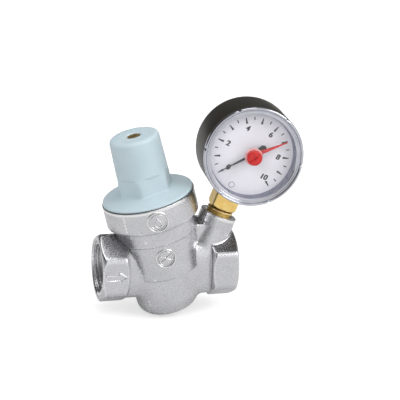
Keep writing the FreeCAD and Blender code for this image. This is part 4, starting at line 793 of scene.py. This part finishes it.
@dataclass
class BodyCasting(Assembly):
    """The cast body with its ports, tiers, bowl and boss, and its raised marks."""

    length: float = 68.0
    half_flats: float = 15.5
    hex_length: float = 13.0
    ridge_blend: float = 1.9
    face_radius: float = 15.35
    bore_radius: float = 13.25
    bore_depth: float = 11.0
    mouth: float = 0.6
    neck_radius: float = 15.3
    valve_x: float = 33.8
    neck_half: float = 11.4
    bowl_shift: float = -2.1
    bowl_radius: float = 15.6
    bowl_depth: float = 22.7
    bowl_corner: float = 7.4
    bowl_wall: float = 3.3
    shield: tuple[tuple[float, float], tuple[float, float]] = ((17.8, -1.0), (19.3, 17.7))
    middle: tuple[tuple[float, float], tuple[float, float]] = ((19.8, 17.7), (20.3, 25.7))
    cup: tuple[tuple[float, float], tuple[float, float]] = ((22.8, 25.7), (22.8, 37.6))
    bores: tuple[tuple[float, float, float], ...] = (
        (19.6, 27.0, 40.0), (17.0, 19.0, 27.5), (14.0, 1.5, 19.5), (9.0, -3.5, 2.0))
    web_base: float = -2.5
    boss_radius: float = 9.15
    boss_flare: float = 0.9
    boss_length: float = 17.0
    boss_bore: tuple[float, float] = (6.6, 9.0)
    fairing_half: float = 7.0
    fairing_top: float = 22.6
    fairing_end: float = 56.9
    passage: tuple[float, float] = (6.5, 5.7)
    step: float = 0.4
    badge_turn: float = -94.0
    badge_heights: tuple[float, float] = (31.5, 10.6)
    thread_pitch: float = 1.814

    def outer(self, points: np.ndarray) -> np.ndarray:
        """Return the field of the outside."""
        x, y, z = points.T
        around = np.hypot(y, z)
        port = np.minimum(x, self.length - x)
        hexagon = prism_field(y, z, 6, self.half_flats, 0.0, self.ridge_blend)
        for run in (port, self.hex_length - port):
            turning = 0.5 * (around - self.face_radius - math.sqrt(3) * run)
            hexagon = soft_max(soft_max(hexagon, turning, 0.5), -run, 0.3)
        neck = soft_max(around - self.neck_radius, np.abs(y) - self.neck_half, 4.0)
        neck = np.maximum(neck, self.hex_length - 2 - port)
        pipe = soft_min(hexagon, neck, 0.5)
        bowl = self.round_room(points, self.bowl_radius, self.bowl_depth, self.bowl_corner)
        result = soft_min(pipe, np.maximum(bowl, z - 6), 2.5)
        radius, height = round_axis(points, self.frames.valve)
        tiers = cone_field(radius, height, *self.shield, (0.6, 0.3))
        tiers = soft_min(tiers, cone_field(radius, height, *self.middle, (0.3, 0.3)), 0.35)
        tiers = soft_min(tiers, cone_field(radius, height, *self.cup, (1.6, 0.5)), 0.45)
        result = soft_min(result, tiers, 0.3)
        fairing = soft_max(np.abs(y) - self.fairing_half, z - self.fairing_top, 1.6)
        fairing = soft_max(fairing, x - self.fairing_end, 1.0)
        fairing = np.maximum(np.maximum(fairing, -z), self.valve_x - x)
        result = soft_min(result, fairing, 1.2)
        radius, height = round_axis(points, self.frames.stem)
        straight = -0.35 * self.boss_length
        foot = (self.boss_radius + self.boss_flare, -self.boss_length)
        boss = cone_field(radius, height, foot, (self.boss_radius, straight), (0.1, 0.1))
        top = cone_field(radius, height, (self.boss_radius, straight - 1), (self.boss_radius, -0.1), (0.1, 0.25))
        return soft_min(result, np.minimum(boss, top), 1.0)

    def round_room(self, points: np.ndarray, radius: float, depth: float, corner: float) -> np.ndarray:
        """Return the field of a round room with a rounded floor, leaned with the valve."""
        reach, height = round_axis(points - np.array([self.bowl_shift, 0.0, 0.0]), self.frames.valve)
        out = reach - (radius - corner)
        down = corner - depth - height
        return np.hypot(np.maximum(out, 0), np.maximum(down, 0)) + np.minimum(np.maximum(out, down), 0) - corner

    def cavity(self, points: np.ndarray) -> np.ndarray:
        """Return the field of everything that is cut out of the casting."""
        x, y, z = points.T
        around = np.hypot(y, z)
        port = np.minimum(x, self.length - x)
        floor = port - self.bore_depth - 3 * (1 - around / self.bore_radius)
        bore = np.maximum(around - self.bore_radius, floor)
        chamfer = np.maximum(around - self.bore_radius - self.mouth + port, port - self.mouth)
        result = np.minimum(bore, chamfer)
        radius, height = round_axis(points, self.frames.valve)
        for size, low, high in self.bores:
            result = np.minimum(result, np.maximum(radius - size, np.maximum(low - height, height - high)))
        room = self.round_room(points, self.bowl_radius - self.bowl_wall, self.bowl_depth - self.bowl_wall,
                               self.bowl_corner - self.bowl_wall)
        room = np.maximum(room, np.maximum(height - self.web_base, z - self.neck_radius))
        result = np.minimum(result, room)
        size, rise = self.passage
        inlet = np.maximum(np.hypot(y, z - rise) - size, np.maximum(self.bore_depth - 1 - x, x - 21.2))
        outlet = np.maximum(np.hypot(y, z + rise) - size, np.maximum(43.6 - x, x - self.length + self.bore_depth - 1))
        result = np.minimum(result, np.minimum(inlet, outlet))
        radius, height = round_axis(points, self.frames.stem)
        well = np.maximum(radius - self.boss_bore[0], -self.boss_bore[1] - height)
        flare = np.maximum(0.7 * (radius - self.boss_bore[0] - 0.5 - height), -0.5 - height)
        return np.minimum(result, np.minimum(well, flare))

    def solid(self, points: np.ndarray) -> np.ndarray:
        """Return the field of the finished casting."""
        return soft_max(self.outer(points), -self.cavity(points), 0.15)

    def on_tier(self, shell: Shell, tier: tuple[tuple[float, float], tuple[float, float]], middle: float) -> Shell:
        """Wrap a flat relief round the front of a tier.

        Args:
            shell: Points as (across, along, outwards).
            tier: The tier's lower and upper radius and height.
            middle: Height of the relief's middle.

        Returns:
            The relief in the valve frame.
        """
        (low_radius, low), (high_radius, high) = tier
        points, faces = shell
        height = middle + points[:, 1]
        radius = low_radius + (high_radius - low_radius) * (height - low) / (high - low)
        angle = math.radians(self.badge_turn) + points[:, 0] / radius
        reach = radius + points[:, 2]
        return np.stack([reach * np.cos(angle), reach * np.sin(angle), height], 1), faces

    @staticmethod
    def circle(radius: float, count: int = 64) -> Outline:
        """Return a circle's points."""
        return [(radius * math.cos(2 * math.pi * i / count), radius * math.sin(2 * math.pi * i / count))
                for i in range(count)]

    def rims(self) -> list[bpy.types.Object]:
        """Build the machined edges of the boss and the cup."""
        bore, radius = self.boss_bore[0] - 0.05, self.boss_radius + 0.03
        boss = rounded([(bore, -1.6), (radius, -1.6), (radius, 0.0, 0.35), (bore + 0.5, 0.0, 0.1), (bore, -0.5)])
        inner, outer, top = self.bores[0][0] - 0.05, self.cup[0][0] + 0.02, self.cup[1][1]
        cup = rounded([(inner, top - 1.4), (outer, top - 1.4), (outer, top, 0.3), (inner, top)])
        rows = (("boss_rim", boss, self.frames.stem), ("cup_rim", cup, self.frames.valve))
        return [self.fixed(name, lathe(profile, 192), matrix, Slot.CASTING, 30) for name, profile, matrix in rows]

    def badges(self) -> list[bpy.types.Object]:
        """Build the two round reliefs: a water drop, and the symbol of a valve."""
        drop = [(1.7 * math.sin(t) * (1 - math.cos(t)) / 1.4, -0.4 - 2.3 * math.cos(math.pi - t))
                for t in (2 * math.pi * i / 40 for i in range(40))]
        bow = rounded([(-3.0, -1.7, 0.3), (0.0, -0.2, 0.2), (3.0, -1.7, 0.3), (3.0, 1.7, 0.3), (0.0, 0.2, 0.2),
                       (-3.0, 1.7, 0.3)])
        cup = joined(bead(self.circle(4.85), 0.85, 0.6), bead(self.circle(3.75), 0.3, 0.3), bead(drop, 0.75, 0.55))
        shield = joined(bead(self.circle(4.65), 0.85, 0.6), bead(self.circle(3.7), 0.3, 0.3), bead(bow, 0.65, 0.55))
        rows = zip(("cup_badge", "shield_badge"), (cup, shield), (self.cup, self.shield), self.badge_heights)
        return [self.fixed(name, self.on_tier(shell, tier, middle), self.frames.valve, Slot.CASTING, 50,
                           recalculate=True) for name, shell, tier, middle in rows]

    def arrow(self) -> bpy.types.Object:
        """Build the outlined flow arrow on the inlet hexagon's front flat."""
        path = rounded([(1.6, -1.3, 0.2), (8.0, -1.3), (8.0, -2.7, 0.2), (11.8, 0.0, 0.2), (8.0, 2.7, 0.2), (8.0, 1.3),
                        (1.6, 1.3, 0.2)])
        points, faces = bead(path, 0.55, 0.45)
        placed = np.stack([points[:, 0], -self.half_flats - points[:, 2], points[:, 1]], 1)
        return self.fixed("flow_arrow", (placed, faces), self.frames.pipe, Slot.CASTING, 50, recalculate=True)

    def threads(self) -> list[bpy.types.Object]:
        """Build the pipe threads in the two ports."""
        values = {"Turns": 5.6, "Pitch": self.thread_pitch, "Radius": self.bore_radius - 0.5, "Depth": 1.3, "Base": 1.6,
                  "Crest": 0.35, "Inward": math.pi}
        pieces = []
        for name, start, way in (("inlet_thread", 0.7, 1), ("outlet_thread", self.length - 0.7, -1)):
            turn = Matrix.Rotation(math.radians(90 * way), 4, "Y")
            matrix = self.frames.pipe @ Matrix.Translation((start, 0, 0)) @ turn
            piece = self.bake(self.ridge, name, values, Slot.CASTING, matrix, 30)
            pieces.append(settle(piece, Body.VALVE, Slot.CASTING))
        return pieces

    def build(self) -> list[bpy.types.Object]:
        """Build the casting, its reliefs and its threads."""
        net = SurfaceNet((-1.0, -24.0, -25.4), (69.0, 24.0, 43.5), self.step)
        points, faces = net.mesh(self.solid)
        centres = points[faces].mean(1)
        outside = np.abs(self.outer(centres)) < np.abs(self.cavity(centres))
        skins = []
        for name, chosen in (("casting_outside", outside), ("casting_inside", ~outside)):
            used, index = np.unique(faces[chosen], return_inverse=True)
            shell = points[used], index.reshape(-1, 4)
            skins.append(self.fixed(name, shell, self.frames.pipe, Slot.CASTING, 60, "valve_body"))
        return [*skins, *self.rims(), *self.badges(), self.arrow(), *self.threads()]


@dataclass
class SpringCover(Assembly):
    """The moulded cover over the spring, with the marks round its roof."""

    seat: float = 37.9
    edge: float = 1.1
    flange_radius: float = 22.4
    flange_rise: float = 1.5
    hex_half: float = 12.0
    hex_corner: float = 13.4
    hex_turn: float = -80.0
    hex_top: float = 50.1
    tower: tuple[tuple[float, float], tuple[float, float]] = ((12.7, 50.1), (12.2, 69.0))
    skirt: tuple[float, float] = (19.5, 29.9)
    skirt_bore: float = 16.5
    chamber: float = 10.8
    roof: float = 66.0
    hole: float = 3.5
    step: float = 0.32

    def outer(self, points: np.ndarray) -> np.ndarray:
        """Return the field of the outside."""
        x, y, height = points.T
        radius = np.hypot(x, y)
        slope = self.flange_rise / (self.flange_radius - 15.2)
        top = height - self.seat - self.edge - slope * (self.flange_radius - radius)
        flange = soft_max(soft_max(radius - self.flange_radius, self.seat - height, 0.3), top, 0.7)
        hexagon = prism_field(x, y, 6, self.hex_half, self.hex_turn, 0.25)
        taper = (radius - self.hex_corner + 0.18 * np.maximum(height - self.hex_top + 3, 0)) / 1.02
        hexagon = soft_max(soft_max(hexagon, taper, 0.5), height - self.hex_top - 2, 0.3)
        hexagon = np.maximum(hexagon, self.seat + 0.4 - height)
        tower = cone_field(radius, height, *self.tower, (0.15, 2.2))
        skirt = np.maximum(radius - self.skirt[0], np.maximum(self.skirt[1] - height, height - self.seat - 0.5))
        result = soft_min(flange, soft_min(hexagon, tower, 0.12), 0.8)
        return np.minimum(result, skirt)

    def solid(self, points: np.ndarray) -> np.ndarray:
        """Return the field of the hollow cover."""
        height = points[:, 2]
        radius = np.hypot(points[:, 0], points[:, 1])
        low = np.maximum(radius - self.skirt_bore, height - 36.4)
        shoulder = np.maximum(0.53 * (radius - self.skirt_bore + 1.583 * (height - 36.4)), 36.3 - height)
        chamber = np.maximum(radius - self.chamber, np.maximum(height - self.roof, 39.9 - height))
        cavity = np.minimum(np.minimum(low, np.maximum(shoulder, height - 40.0)), chamber)
        hole = np.minimum(radius - self.hole, 0.7 * (radius - self.hole - 0.4 - height + self.tower[1][1]))
        cavity = np.minimum(cavity, np.maximum(hole, self.roof - 1 - height))
        return soft_max(self.outer(points), -cavity, 0.25)

    def build(self) -> list[bpy.types.Object]:
        """Build the cover and its marks."""
        net = SurfaceNet((-23.2, -23.2, 29.0), (23.2, 23.2, 70.0), self.step)
        cover = self.fixed("cover_moulding", net.mesh(self.solid), self.frames.valve, Slot.COVER, 60, "cover")
        values = {"Count": 15, "Start": math.radians(20), "Sweep": math.radians(220), "Radius": 9.0, "Length": 1.5,
                  "Width": 0.45, "Height": 0.5, "Taper": 0.0}
        matrix = self.frames.valve @ Matrix.Translation((0, 0, self.tower[1][1] - 0.3))
        marks = self.bake(self.bars, "roof_marks", values, Slot.COVER, matrix)
        return [cover, settle(marks, Body.VALVE, Slot.COVER)]


@dataclass
class GaugeStem(Assembly):
    """The brass stem: thread, spanner square, neck and the block in the case."""

    pipe_radius: float = 5.95
    collar_radius: float = 6.5
    square: float = 12.3
    base: float = 3.0
    top: float = 10.6
    neck_radius: float = 4.5
    block: tuple[float, float, float, float] = (6.0, 3.5, 14.4, 27.4)
    step: float = 0.3

    def solid(self, points: np.ndarray) -> np.ndarray:
        """Return the field of the stem."""
        x, y, z = points.T
        radius = np.hypot(x, y)
        pipe = cone_field(radius, z, (self.pipe_radius, -8.0), (self.pipe_radius, 2.4), (0.5, 0.3))
        collar = cone_field(radius, z, (self.collar_radius, 1.1), (self.collar_radius, 2.3), (0.4, 0.5))
        square = prism_field(x, y, 4, 0.5 * self.square, 0.0, 0.35)
        taper = 0.62 * (radius - 6.75 - 1.29 * (z - self.base))
        square = soft_max(soft_max(square, taper, 0.3), radius - 8.3, 0.3)
        square = soft_max(soft_max(square, self.base - z, 0.25), z - self.top, 0.5)
        neck = cone_field(radius, z, (self.neck_radius, 2.0), (self.neck_radius, 16.0), (0.2, 0.2))
        half_x, half_y, low, high = self.block
        block = soft_max(soft_max(np.abs(x) - half_x, np.abs(y) - half_y, 0.4), np.maximum(low - z, z - high), 0.4)
        outside = soft_min(soft_min(pipe, collar, 0.3), square, 0.3)
        return np.minimum(soft_min(outside, neck, 0.4), block)

    def build(self) -> list[bpy.types.Object]:
        """Build the stem and its thread."""
        net = SurfaceNet((-9.3, -9.3, -9.0), (9.3, 9.3, 28.4), self.step)
        stem = self.fixed("gauge_stem", net.mesh(self.solid), self.frames.stem, Slot.BRASS, 60, "gauge_socket")
        values = {"Turns": 5.2, "Pitch": 1.337, "Radius": self.pipe_radius + 0.18, "Depth": 0.75, "Base": 1.2,
                  "Crest": 0.3, "Inward": 0.0}
        matrix = self.frames.stem @ Matrix.Translation((0, 0, -7.6))
        thread = self.bake(self.ridge, "stem_thread", values, Slot.BRASS, matrix, 30)
        return [stem, settle(thread, Body.VALVE, Slot.BRASS)]


@dataclass
class GaugeHousing(Assembly):
    """The case, the bezel, the ring under the window and the window."""

    radius: float = 24.4
    depth: float = 20.0
    wall: float = 1.5
    lip: float = 4.0
    front: float = 6.0
    inner: float = 21.2
    window: tuple[float, float] = (3.5, 4.6)
    segments: int = 288
    crimps: int = 6
    crimp_depth: float = 0.4
    crimp_width: float = 1.1

    def case(self) -> Shell:
        """Return the case, open to the front, with a stamped step in its back."""
        bore = self.radius - self.wall
        return lathe(rounded([
            (0, -self.depth + 0.5), (15.5, -self.depth + 0.5, 0.5), (16.3, -self.depth, 0.5),
            (self.radius, -self.depth, 2.0), (self.radius, self.lip, 0.25), (bore, self.lip),
            (bore, -0.5), (bore - 2.2, -0.5), (bore - 2.2, -1.7), (bore, -1.7),
            (bore, -self.depth + self.wall, 0.8), (0, -self.depth + self.wall)], False), self.segments, False)

    def crimp(self, radius: float, height: float, angle: float) -> float:
        """Return how far the bezel's edge is pressed in at an angle."""
        if radius < self.radius - 1.2 or height < self.lip + 0.6:
            return 0.0
        pitch = 2 * math.pi / self.crimps
        off = math.degrees((angle + 0.35) % pitch - 0.5 * pitch) / self.crimp_width
        return -self.crimp_depth * math.exp(-off * off)

    def bezel(self) -> Shell:
        """Return the bezel."""
        skirt = self.radius - self.wall - 0.1
        edge = self.radius - 0.05
        return lathe(rounded([
            (self.inner - 0.3, self.window[1] + 0.02), (skirt, self.window[1]), (skirt, self.lip + 0.9),
            (edge, self.lip + 0.02), (edge, self.lip + 0.65), (edge, self.lip + 1.3), (edge, self.front, 0.7),
            (self.radius - 1.2, self.front, 0.4), (self.radius - 1.25, self.front - 1.15, 0.1),
            (self.radius - 1.6, self.front - 0.65, 0.2), (self.radius - 2.1, self.front - 0.75, 0.1),
            (self.radius - 2.25, self.front - 1.0, 0.1), (self.inner + 0.5, self.window[1] + 0.5, 0.3),
            (self.inner - 0.2, self.window[1] + 0.25, 0.1)]), self.segments, True, self.crimp)

    def build(self) -> list[bpy.types.Object]:
        """Build the housing's pieces."""
        skirt = self.radius - self.wall - 0.1
        low, high = self.window
        ring = rounded([(self.inner - 0.9, 0.0), (skirt, 0.0), (skirt, low), (self.inner, low, 0.2)])
        pane = rounded([(1.35, low), (skirt - 0.5, low), (skirt - 0.5, high), (1.35, high)])
        pieces = []
        for name, shell, finish, node in (
                ("case_shell", self.case(), FINISHES[Slot.CASE], "gauge_case"),
                ("bezel_ring", self.bezel(), FINISHES[Slot.CHROME], "gauge_bezel"),
                ("inner_ring", lathe(ring, self.segments), PAINTED_SHADE_RING, "window_ring"),
                ("window_pane", lathe(pane, 144), FINISHES[Slot.WINDOW], "gauge_window")):
            piece = add_mesh(name, shell, self.frames.dial, finish, 30)
            pieces.append(settle(piece, Body.VALVE, finish.slot, node))
        return pieces


@dataclass
class DialFace(Assembly):
    """The white plate with its scale and numerals."""

    radius: float = 22.3
    thickness: float = 0.5
    hole: float = 0.9
    zero_angle: float = 229.5
    sweep: float = 270.0
    full_scale: int = 10
    long_tick: tuple[float, float, float] = (15.4, 18.4, 0.75)
    short_tick: tuple[float, float, float] = (16.9, 18.5, 0.5)
    ink: float = 0.03
    numeral_radius: float = 13.0
    numeral_size: float = 3.7
    mark: tuple[float, float, float] = (-3.4, -17.4, 1.4)

    def ticks(self, name: str, tick: tuple[float, float, float], count: int, start: float, sweep: float,
              taper: float) -> bpy.types.Object:
        """Print one row of the scale's ticks."""
        inner, outer, width = tick
        values = {"Count": count, "Start": math.radians(start), "Sweep": -math.radians(sweep),
                  "Radius": 0.5 * (inner + outer), "Length": outer - inner, "Width": width, "Height": self.ink,
                  "Taper": taper}
        return self.bake(self.bars, name, values, Slot.INK, self.frames.dial)

    def numerals(self) -> bpy.types.Object:
        """Print the numerals, as one mesh."""
        parts = []
        for value in range(0, self.full_scale + 1, 2):
            curve = bpy.data.curves.new("numeral", "FONT")
            curve.body = str(value)
            curve.size = self.numeral_size
            curve.shear = 0.12
            curve.offset = 0.07
            curve.extrude = 0.5 * self.ink
            curve.align_x = "CENTER"
            curve.align_y = "CENTER"
            text = bpy.data.objects.new("numeral", curve)
            bpy.context.scene.collection.objects.link(text)
            mesh = evaluated_mesh(text)
            angle = math.radians(self.zero_angle - self.sweep * value / self.full_scale)
            spot = Vector((math.cos(angle), math.sin(angle), 0)) * self.numeral_radius
            spot.z = 0.5 * self.ink
            mesh.transform(Matrix.Translation(spot))
            points = np.array([vertex.co for vertex in mesh.vertices])
            faces = [list(polygon.vertices) for polygon in mesh.polygons]
            for shift in (-1, 0, 1):
                parts.append((points + np.array([0.15 * shift, 0.0, 0.004 * shift]), faces))
        return add_mesh("dial_numerals", joined(*parts), self.frames.dial, FINISHES[Slot.INK], 35, True)

    def build(self) -> list[bpy.types.Object]:
        """Build the plate and its print."""
        section = rounded([(self.hole, -self.thickness), (self.radius, -self.thickness), (self.radius, 0.0),
                           (self.hole, 0.0)])
        dial = self.fixed("dial_plate", lathe(section, 144), self.frames.dial, Slot.DIAL, 30, "gauge_dial")
        step = self.sweep / self.full_scale
        long_ticks = self.ticks("long_ticks", self.long_tick, self.full_scale + 1, self.zero_angle, self.sweep, -0.9)
        short_ticks = self.ticks("short_ticks", self.short_tick, self.full_scale, self.zero_angle - 0.5 * step,
                                 self.sweep - step, 0.0)
        x, y, size = self.mark
        circle = bead([(x + px, y + py) for px, py in BodyCasting.circle(size, 40)], 0.22, self.ink)
        ring = add_mesh("dial_mark", circle, self.frames.dial, FINISHES[Slot.INK], 50, True)
        printed = [long_ticks, short_ticks, self.numerals(), ring]
        return [dial, *(settle(piece, Body.VALVE, Slot.INK) for piece in printed)]


@dataclass
class Pointers(Assembly):
    """The black pointer, and the red set pointer with its knob and collar."""

    needle_plane: tuple[float, float] = (1.2, 1.6)
    needle_length: float = 17.5
    needle_turn: float = 138.0
    set_plane: tuple[float, float] = (2.7, 3.1)
    set_length: float = 18.0
    set_turn: float = -48.5
    knob_radius: float = 3.7
    knob_base: float = 5.8
    knob_front: float = 8.5
    spindle: float = 1.3
    collar: tuple[float, float, float] = (4.3, 4.6, 5.5)

    @staticmethod
    def blade(widths: Sequence[tuple[float, float]], hub: float, turn: float) -> Outline:
        """Return a pointer's outline.

        Args:
            widths: (distance along the pointer, half width) points from tail to tip.
            hub: Radius of its round hub.
            turn: Degrees from straight up, counter-clockwise.

        Returns:
            The outline, counter-clockwise.
        """
        along = sorted({row[0] for row in widths} | {hub * math.sin(math.radians(a)) for a in range(-90, 91, 10)})
        lengths, halves = zip(*widths)
        side = []
        for distance in along[1:] if hub == -lengths[0] else along:
            half = float(np.interp(distance, lengths, halves))
            round_half = math.sqrt(max(hub * hub - distance * distance, 0.0))
            side.append((max(half, round_half), distance))
        points = side + [(-half, distance) for half, distance in reversed(side)]
        spin = Matrix.Rotation(math.radians(turn), 2)
        return [tuple(spin @ Vector(point)) for point in points]

    def knob(self, points: np.ndarray) -> np.ndarray:
        """Return the field of the knob with its coin slot and spindle."""
        x, y, z = points.T
        radius = np.hypot(x, y)
        base, front = (self.knob_radius, self.knob_base), (self.knob_radius, self.knob_front)
        head = cone_field(radius, z, base, front, (0.3, 0.9))
        angle = math.radians(-35)
        across = x * math.cos(angle) + y * math.sin(angle)
        along = -x * math.sin(angle) + y * math.cos(angle)
        slot = np.maximum(np.maximum(np.abs(across) - 0.5, along - 0.35 * self.knob_radius),
                          self.knob_front - 0.9 - z)
        head = soft_max(head, -slot, 0.2)
        spindle = np.maximum(radius - self.spindle, np.maximum(self.set_plane[0] - z, z - self.knob_base - 0.5))
        return np.minimum(head, spindle)

    def build(self) -> list[bpy.types.Object]:
        """Build the pointers, the knob and its collar."""
        needle = self.blade([(-7.6, 1.2), (-6.2, 2.0), (0.0, 0.8), (0.01, 0.7), (self.needle_length, 0.18)], 2.0,
                            self.needle_turn)
        red = self.blade([(-2.6, 0.1), (0.0, 1.3), (self.set_length, 0.25)], 2.6, self.set_turn)
        net = SurfaceNet((-4.2, -4.2, 2.4), (4.2, 4.2, 9.0), 0.14)
        radius, low, high = self.collar
        section = rounded([(self.spindle + 0.05, low), (radius, low), (radius, high, 0.3), (self.spindle + 0.05, high)])
        pieces = []
        for name, shell, body, slot, node in (
                ("needle", plate(needle, *self.needle_plane), Body.POINTER, Slot.INK, "gauge_pointer"),
                ("set_needle", plate(red, *self.set_plane), Body.SET_POINTER, Slot.RED, "set_pointer"),
                ("knob", net.mesh(self.knob), Body.SET_POINTER, Slot.RED, "set_knob"),
                ("knob_collar", lathe(section, 96), Body.VALVE, Slot.PALE, "knob_ring")):
            piece = add_mesh(name, shell, self.frames.dial, FINISHES[slot], 40)
            pieces.append(settle(piece, body, slot, node))
        return pieces


@dataclass
class CarriedNodes:
    """The CAD nodes that stay as they are and get their finish."""

    record: dict[str, Any]

    def dress(self, nodes: dict[str, bpy.types.Object]) -> list[str]:
        """Give every CAD node the finish of its slot.

        Args:
            nodes: The CAD objects by name.

        Returns:
            The names of the nodes that were dressed.
        """
        names = []
        for part in self.record["subparts"]:
            material = FINISHES[Slot(part["material_slot"])].material()
            node = nodes[part["node"]]
            node.data.materials.clear()
            node.data.materials.append(material)
            names.append(part["node"])
        return names


# ---- Studio ----
@dataclass(frozen=True)
class Lamp:
    """One soft square light.

    Attributes:
        name: The lamp's name.
        place: Its place in metres.
        size: Its side in metres.
        power: Its power in watts.
        color: Its colour.
        mirrored: False if shiny surfaces don't mirror it.
    """

    name: str
    place: tuple[float, float, float]
    size: float
    power: float
    color: tuple[float, float, float] = (1.0, 1.0, 1.0)
    mirrored: bool = True

    def add(self, aim: Vector) -> None:
        """Add the lamp, aimed at a point."""
        data = bpy.data.lights.new(self.name, "AREA")
        data.shape = "SQUARE"
        data.size = self.size
        data.energy = self.power
        data.color = self.color
        lamp = bpy.data.objects.new(self.name, data)
        lamp.location = self.place
        lamp.visible_glossy = self.mirrored
        lamp.rotation_euler = (aim - Vector(self.place)).to_track_quat("-Z", "Y").to_euler()
        bpy.context.scene.collection.objects.link(lamp)


@dataclass
class Studio:
    """The floor, the surroundings, the lamps and the camera."""

    target: tuple[float, float, float] = (0.05091, 0.0, 0.03239)
    azimuth: float = -15.11
    elevation: float = 18.25
    roll: float = 1.83
    distance: float = 0.84587
    lens: float = 155.3
    floor_size: float = 3.0
    floor_color: float = 0.62
    floor_white: float = 0.52
    floor_glossy: float = 0.12
    front_share: tuple[float, float] = (1.2, 0.15)
    sky: tuple[tuple[float, float], ...] = (
        (0.0, 0.75), (0.5, 1.0), (0.60, 0.95), (0.74, 0.75), (0.88, 0.6), (1.0, 0.5))
    sides: tuple[tuple[float, float], ...] = (
        (0.0, 0.1), (0.2, 0.14), (0.4, 0.6), (0.6, 1.0), (0.78, 1.0), (0.9, 0.8), (1.0, 0.4))
    lamps: tuple[Lamp, ...] = (
        Lamp("key", (0.95, -0.75, 0.85), 0.7, 8.0),
        Lamp("fill", (-0.7, -1.0, 1.0), 0.8, 5.0, mirrored=False),
        Lamp("top", (0.0, 0.0, 1.3), 0.7, 4.0),
    )

    def camera(self) -> None:
        """Add the camera."""
        turn, tilt, roll = (math.radians(a) for a in (self.azimuth, self.elevation, self.roll))
        back = Vector((math.sin(turn) * math.cos(tilt), -math.cos(turn) * math.cos(tilt), math.sin(tilt)))
        level = Vector((math.cos(turn), math.sin(turn), 0))
        rise = back.cross(level)
        right = level * math.cos(roll) + rise * math.sin(roll)
        up = back.cross(right)
        data = bpy.data.cameras.new("camera")
        data.lens = self.lens
        data.sensor_width = 36.0
        data.clip_start = 0.01
        data.clip_end = 50.0
        camera = bpy.data.objects.new("camera", data)
        place = Vector(self.target) + self.distance * back
        camera.matrix_world = Matrix.Translation(place) @ Matrix((right, up, back)).transposed().to_4x4()
        bpy.context.scene.collection.objects.link(camera)
        bpy.context.scene.camera = camera

    def floor(self, height: float) -> None:
        """Add the pale floor.

        Args:
            height: The floor's height in metres.
        """
        half = self.floor_size
        mesh = bpy.data.meshes.new("floor")
        corners = [(-half, -half, height), (half, -half, height), (half, half, height), (-half, half, height)]
        mesh.from_pydata(corners, [], [(0, 1, 2, 3)])
        floor = bpy.data.objects.new("floor", mesh)
        bpy.context.scene.collection.objects.link(floor)
        material = bpy.data.materials.new("floor_paint")
        material.use_nodes = True
        board = NodeBoard(material.node_tree)
        path = board.add("ShaderNodeLightPath").outputs
        mirrored = board.math("MULTIPLY", path["Is Glossy Ray"], self.floor_glossy)
        indirect = board.math("MAXIMUM", mirrored, path["Is Transmission Ray"])
        seen = board.math("MAXIMUM", path["Is Camera Ray"], indirect)
        tone = self.floor_color
        paint = board.add("ShaderNodeBsdfDiffuse", {"Color": (tone, tone, tone, 1)}).outputs[0]
        share = board.math("MULTIPLY", seen, self.floor_white)
        white = board.add("ShaderNodeEmission", {"Color": (1, 1, 1, 1), "Strength": share}).outputs[0]
        lifted = board.add("ShaderNodeAddShader", {0: paint, 1: white})
        board.add("ShaderNodeOutputMaterial", {0: lifted.outputs[0]})
        mesh.materials.append(material)

    @staticmethod
    def fill_ramp(ramp: bpy.types.Node, stops: Sequence[tuple[float, float]]) -> None:
        """Give a colour ramp its grey stops."""
        for i, (stop, tone) in enumerate(stops):
            points = ramp.color_ramp.elements
            point = points[i] if i < 2 else points.new(stop)
            point.position = stop
            point.color = (tone, tone, tone, 1)

    def surroundings(self) -> None:
        """Make the world: bright at the horizon, darker overhead and to the left."""
        world = bpy.data.worlds.new("studio")
        world.use_nodes = True
        bpy.context.scene.world = world
        board = NodeBoard(world.node_tree)
        way = board.add("ShaderNodeSeparateXYZ", {0: board.add("ShaderNodeTexCoord").outputs["Generated"]}).outputs
        height = board.map_range(way[2], (-1.0, 1.0), (0.0, 1.0))
        ramp = board.add("ShaderNodeValToRGB", {0: height})
        self.fill_ramp(ramp, self.sky)
        side = board.add("ShaderNodeValToRGB", {0: board.map_range(way[0], (-1.0, 1.0), (0.0, 1.0))})
        self.fill_ramp(side, self.sides)
        ahead = board.map_range(way[1], (-0.1, 0.5), self.front_share)
        share = board.math("MULTIPLY", side.outputs[0], ahead)
        path = board.add("ShaderNodeLightPath").outputs
        share = board.math("MAXIMUM", share, board.math("SUBTRACT", 1.0, path["Is Glossy Ray"]))
        back = board.add("ShaderNodeBackground", {"Color": ramp.outputs[0], "Strength": share})
        board.add("ShaderNodeOutputWorld", {0: back.outputs[0]})

    def build(self, floor_height: float) -> None:
        """Build the studio round the object."""
        self.camera()
        self.floor(floor_height)
        self.surroundings()
        for lamp in self.lamps:
            lamp.add(Vector(self.target))
        bpy.context.scene.view_settings.view_transform = "Standard"


def main() -> None:
    """Build every sub-assembly in order and report its pieces."""
    logging.basicConfig(level=logging.INFO, format="%(name)s: %(message)s", force=True)
    frames = Frames.read(frame["joints"])
    Studio().build(cad_box[0][2])
    bars, ridge = RadialBars(), ThreadRidge()
    for kind in (BodyCasting, SpringCover, GaugeStem, GaugeHousing, DialFace, Pointers):
        for piece in kind(frames, bars, ridge).build():
            LOG.info("%s: %s, %d faces", kind.__name__, piece.name, len(piece.data.polygons))
    dressed = CarriedNodes(frame["record"]).dress(frame["nodes"])
    LOG.info("CAD nodes dressed: %d", len(dressed))


if __name__ == "__main__":
    main()
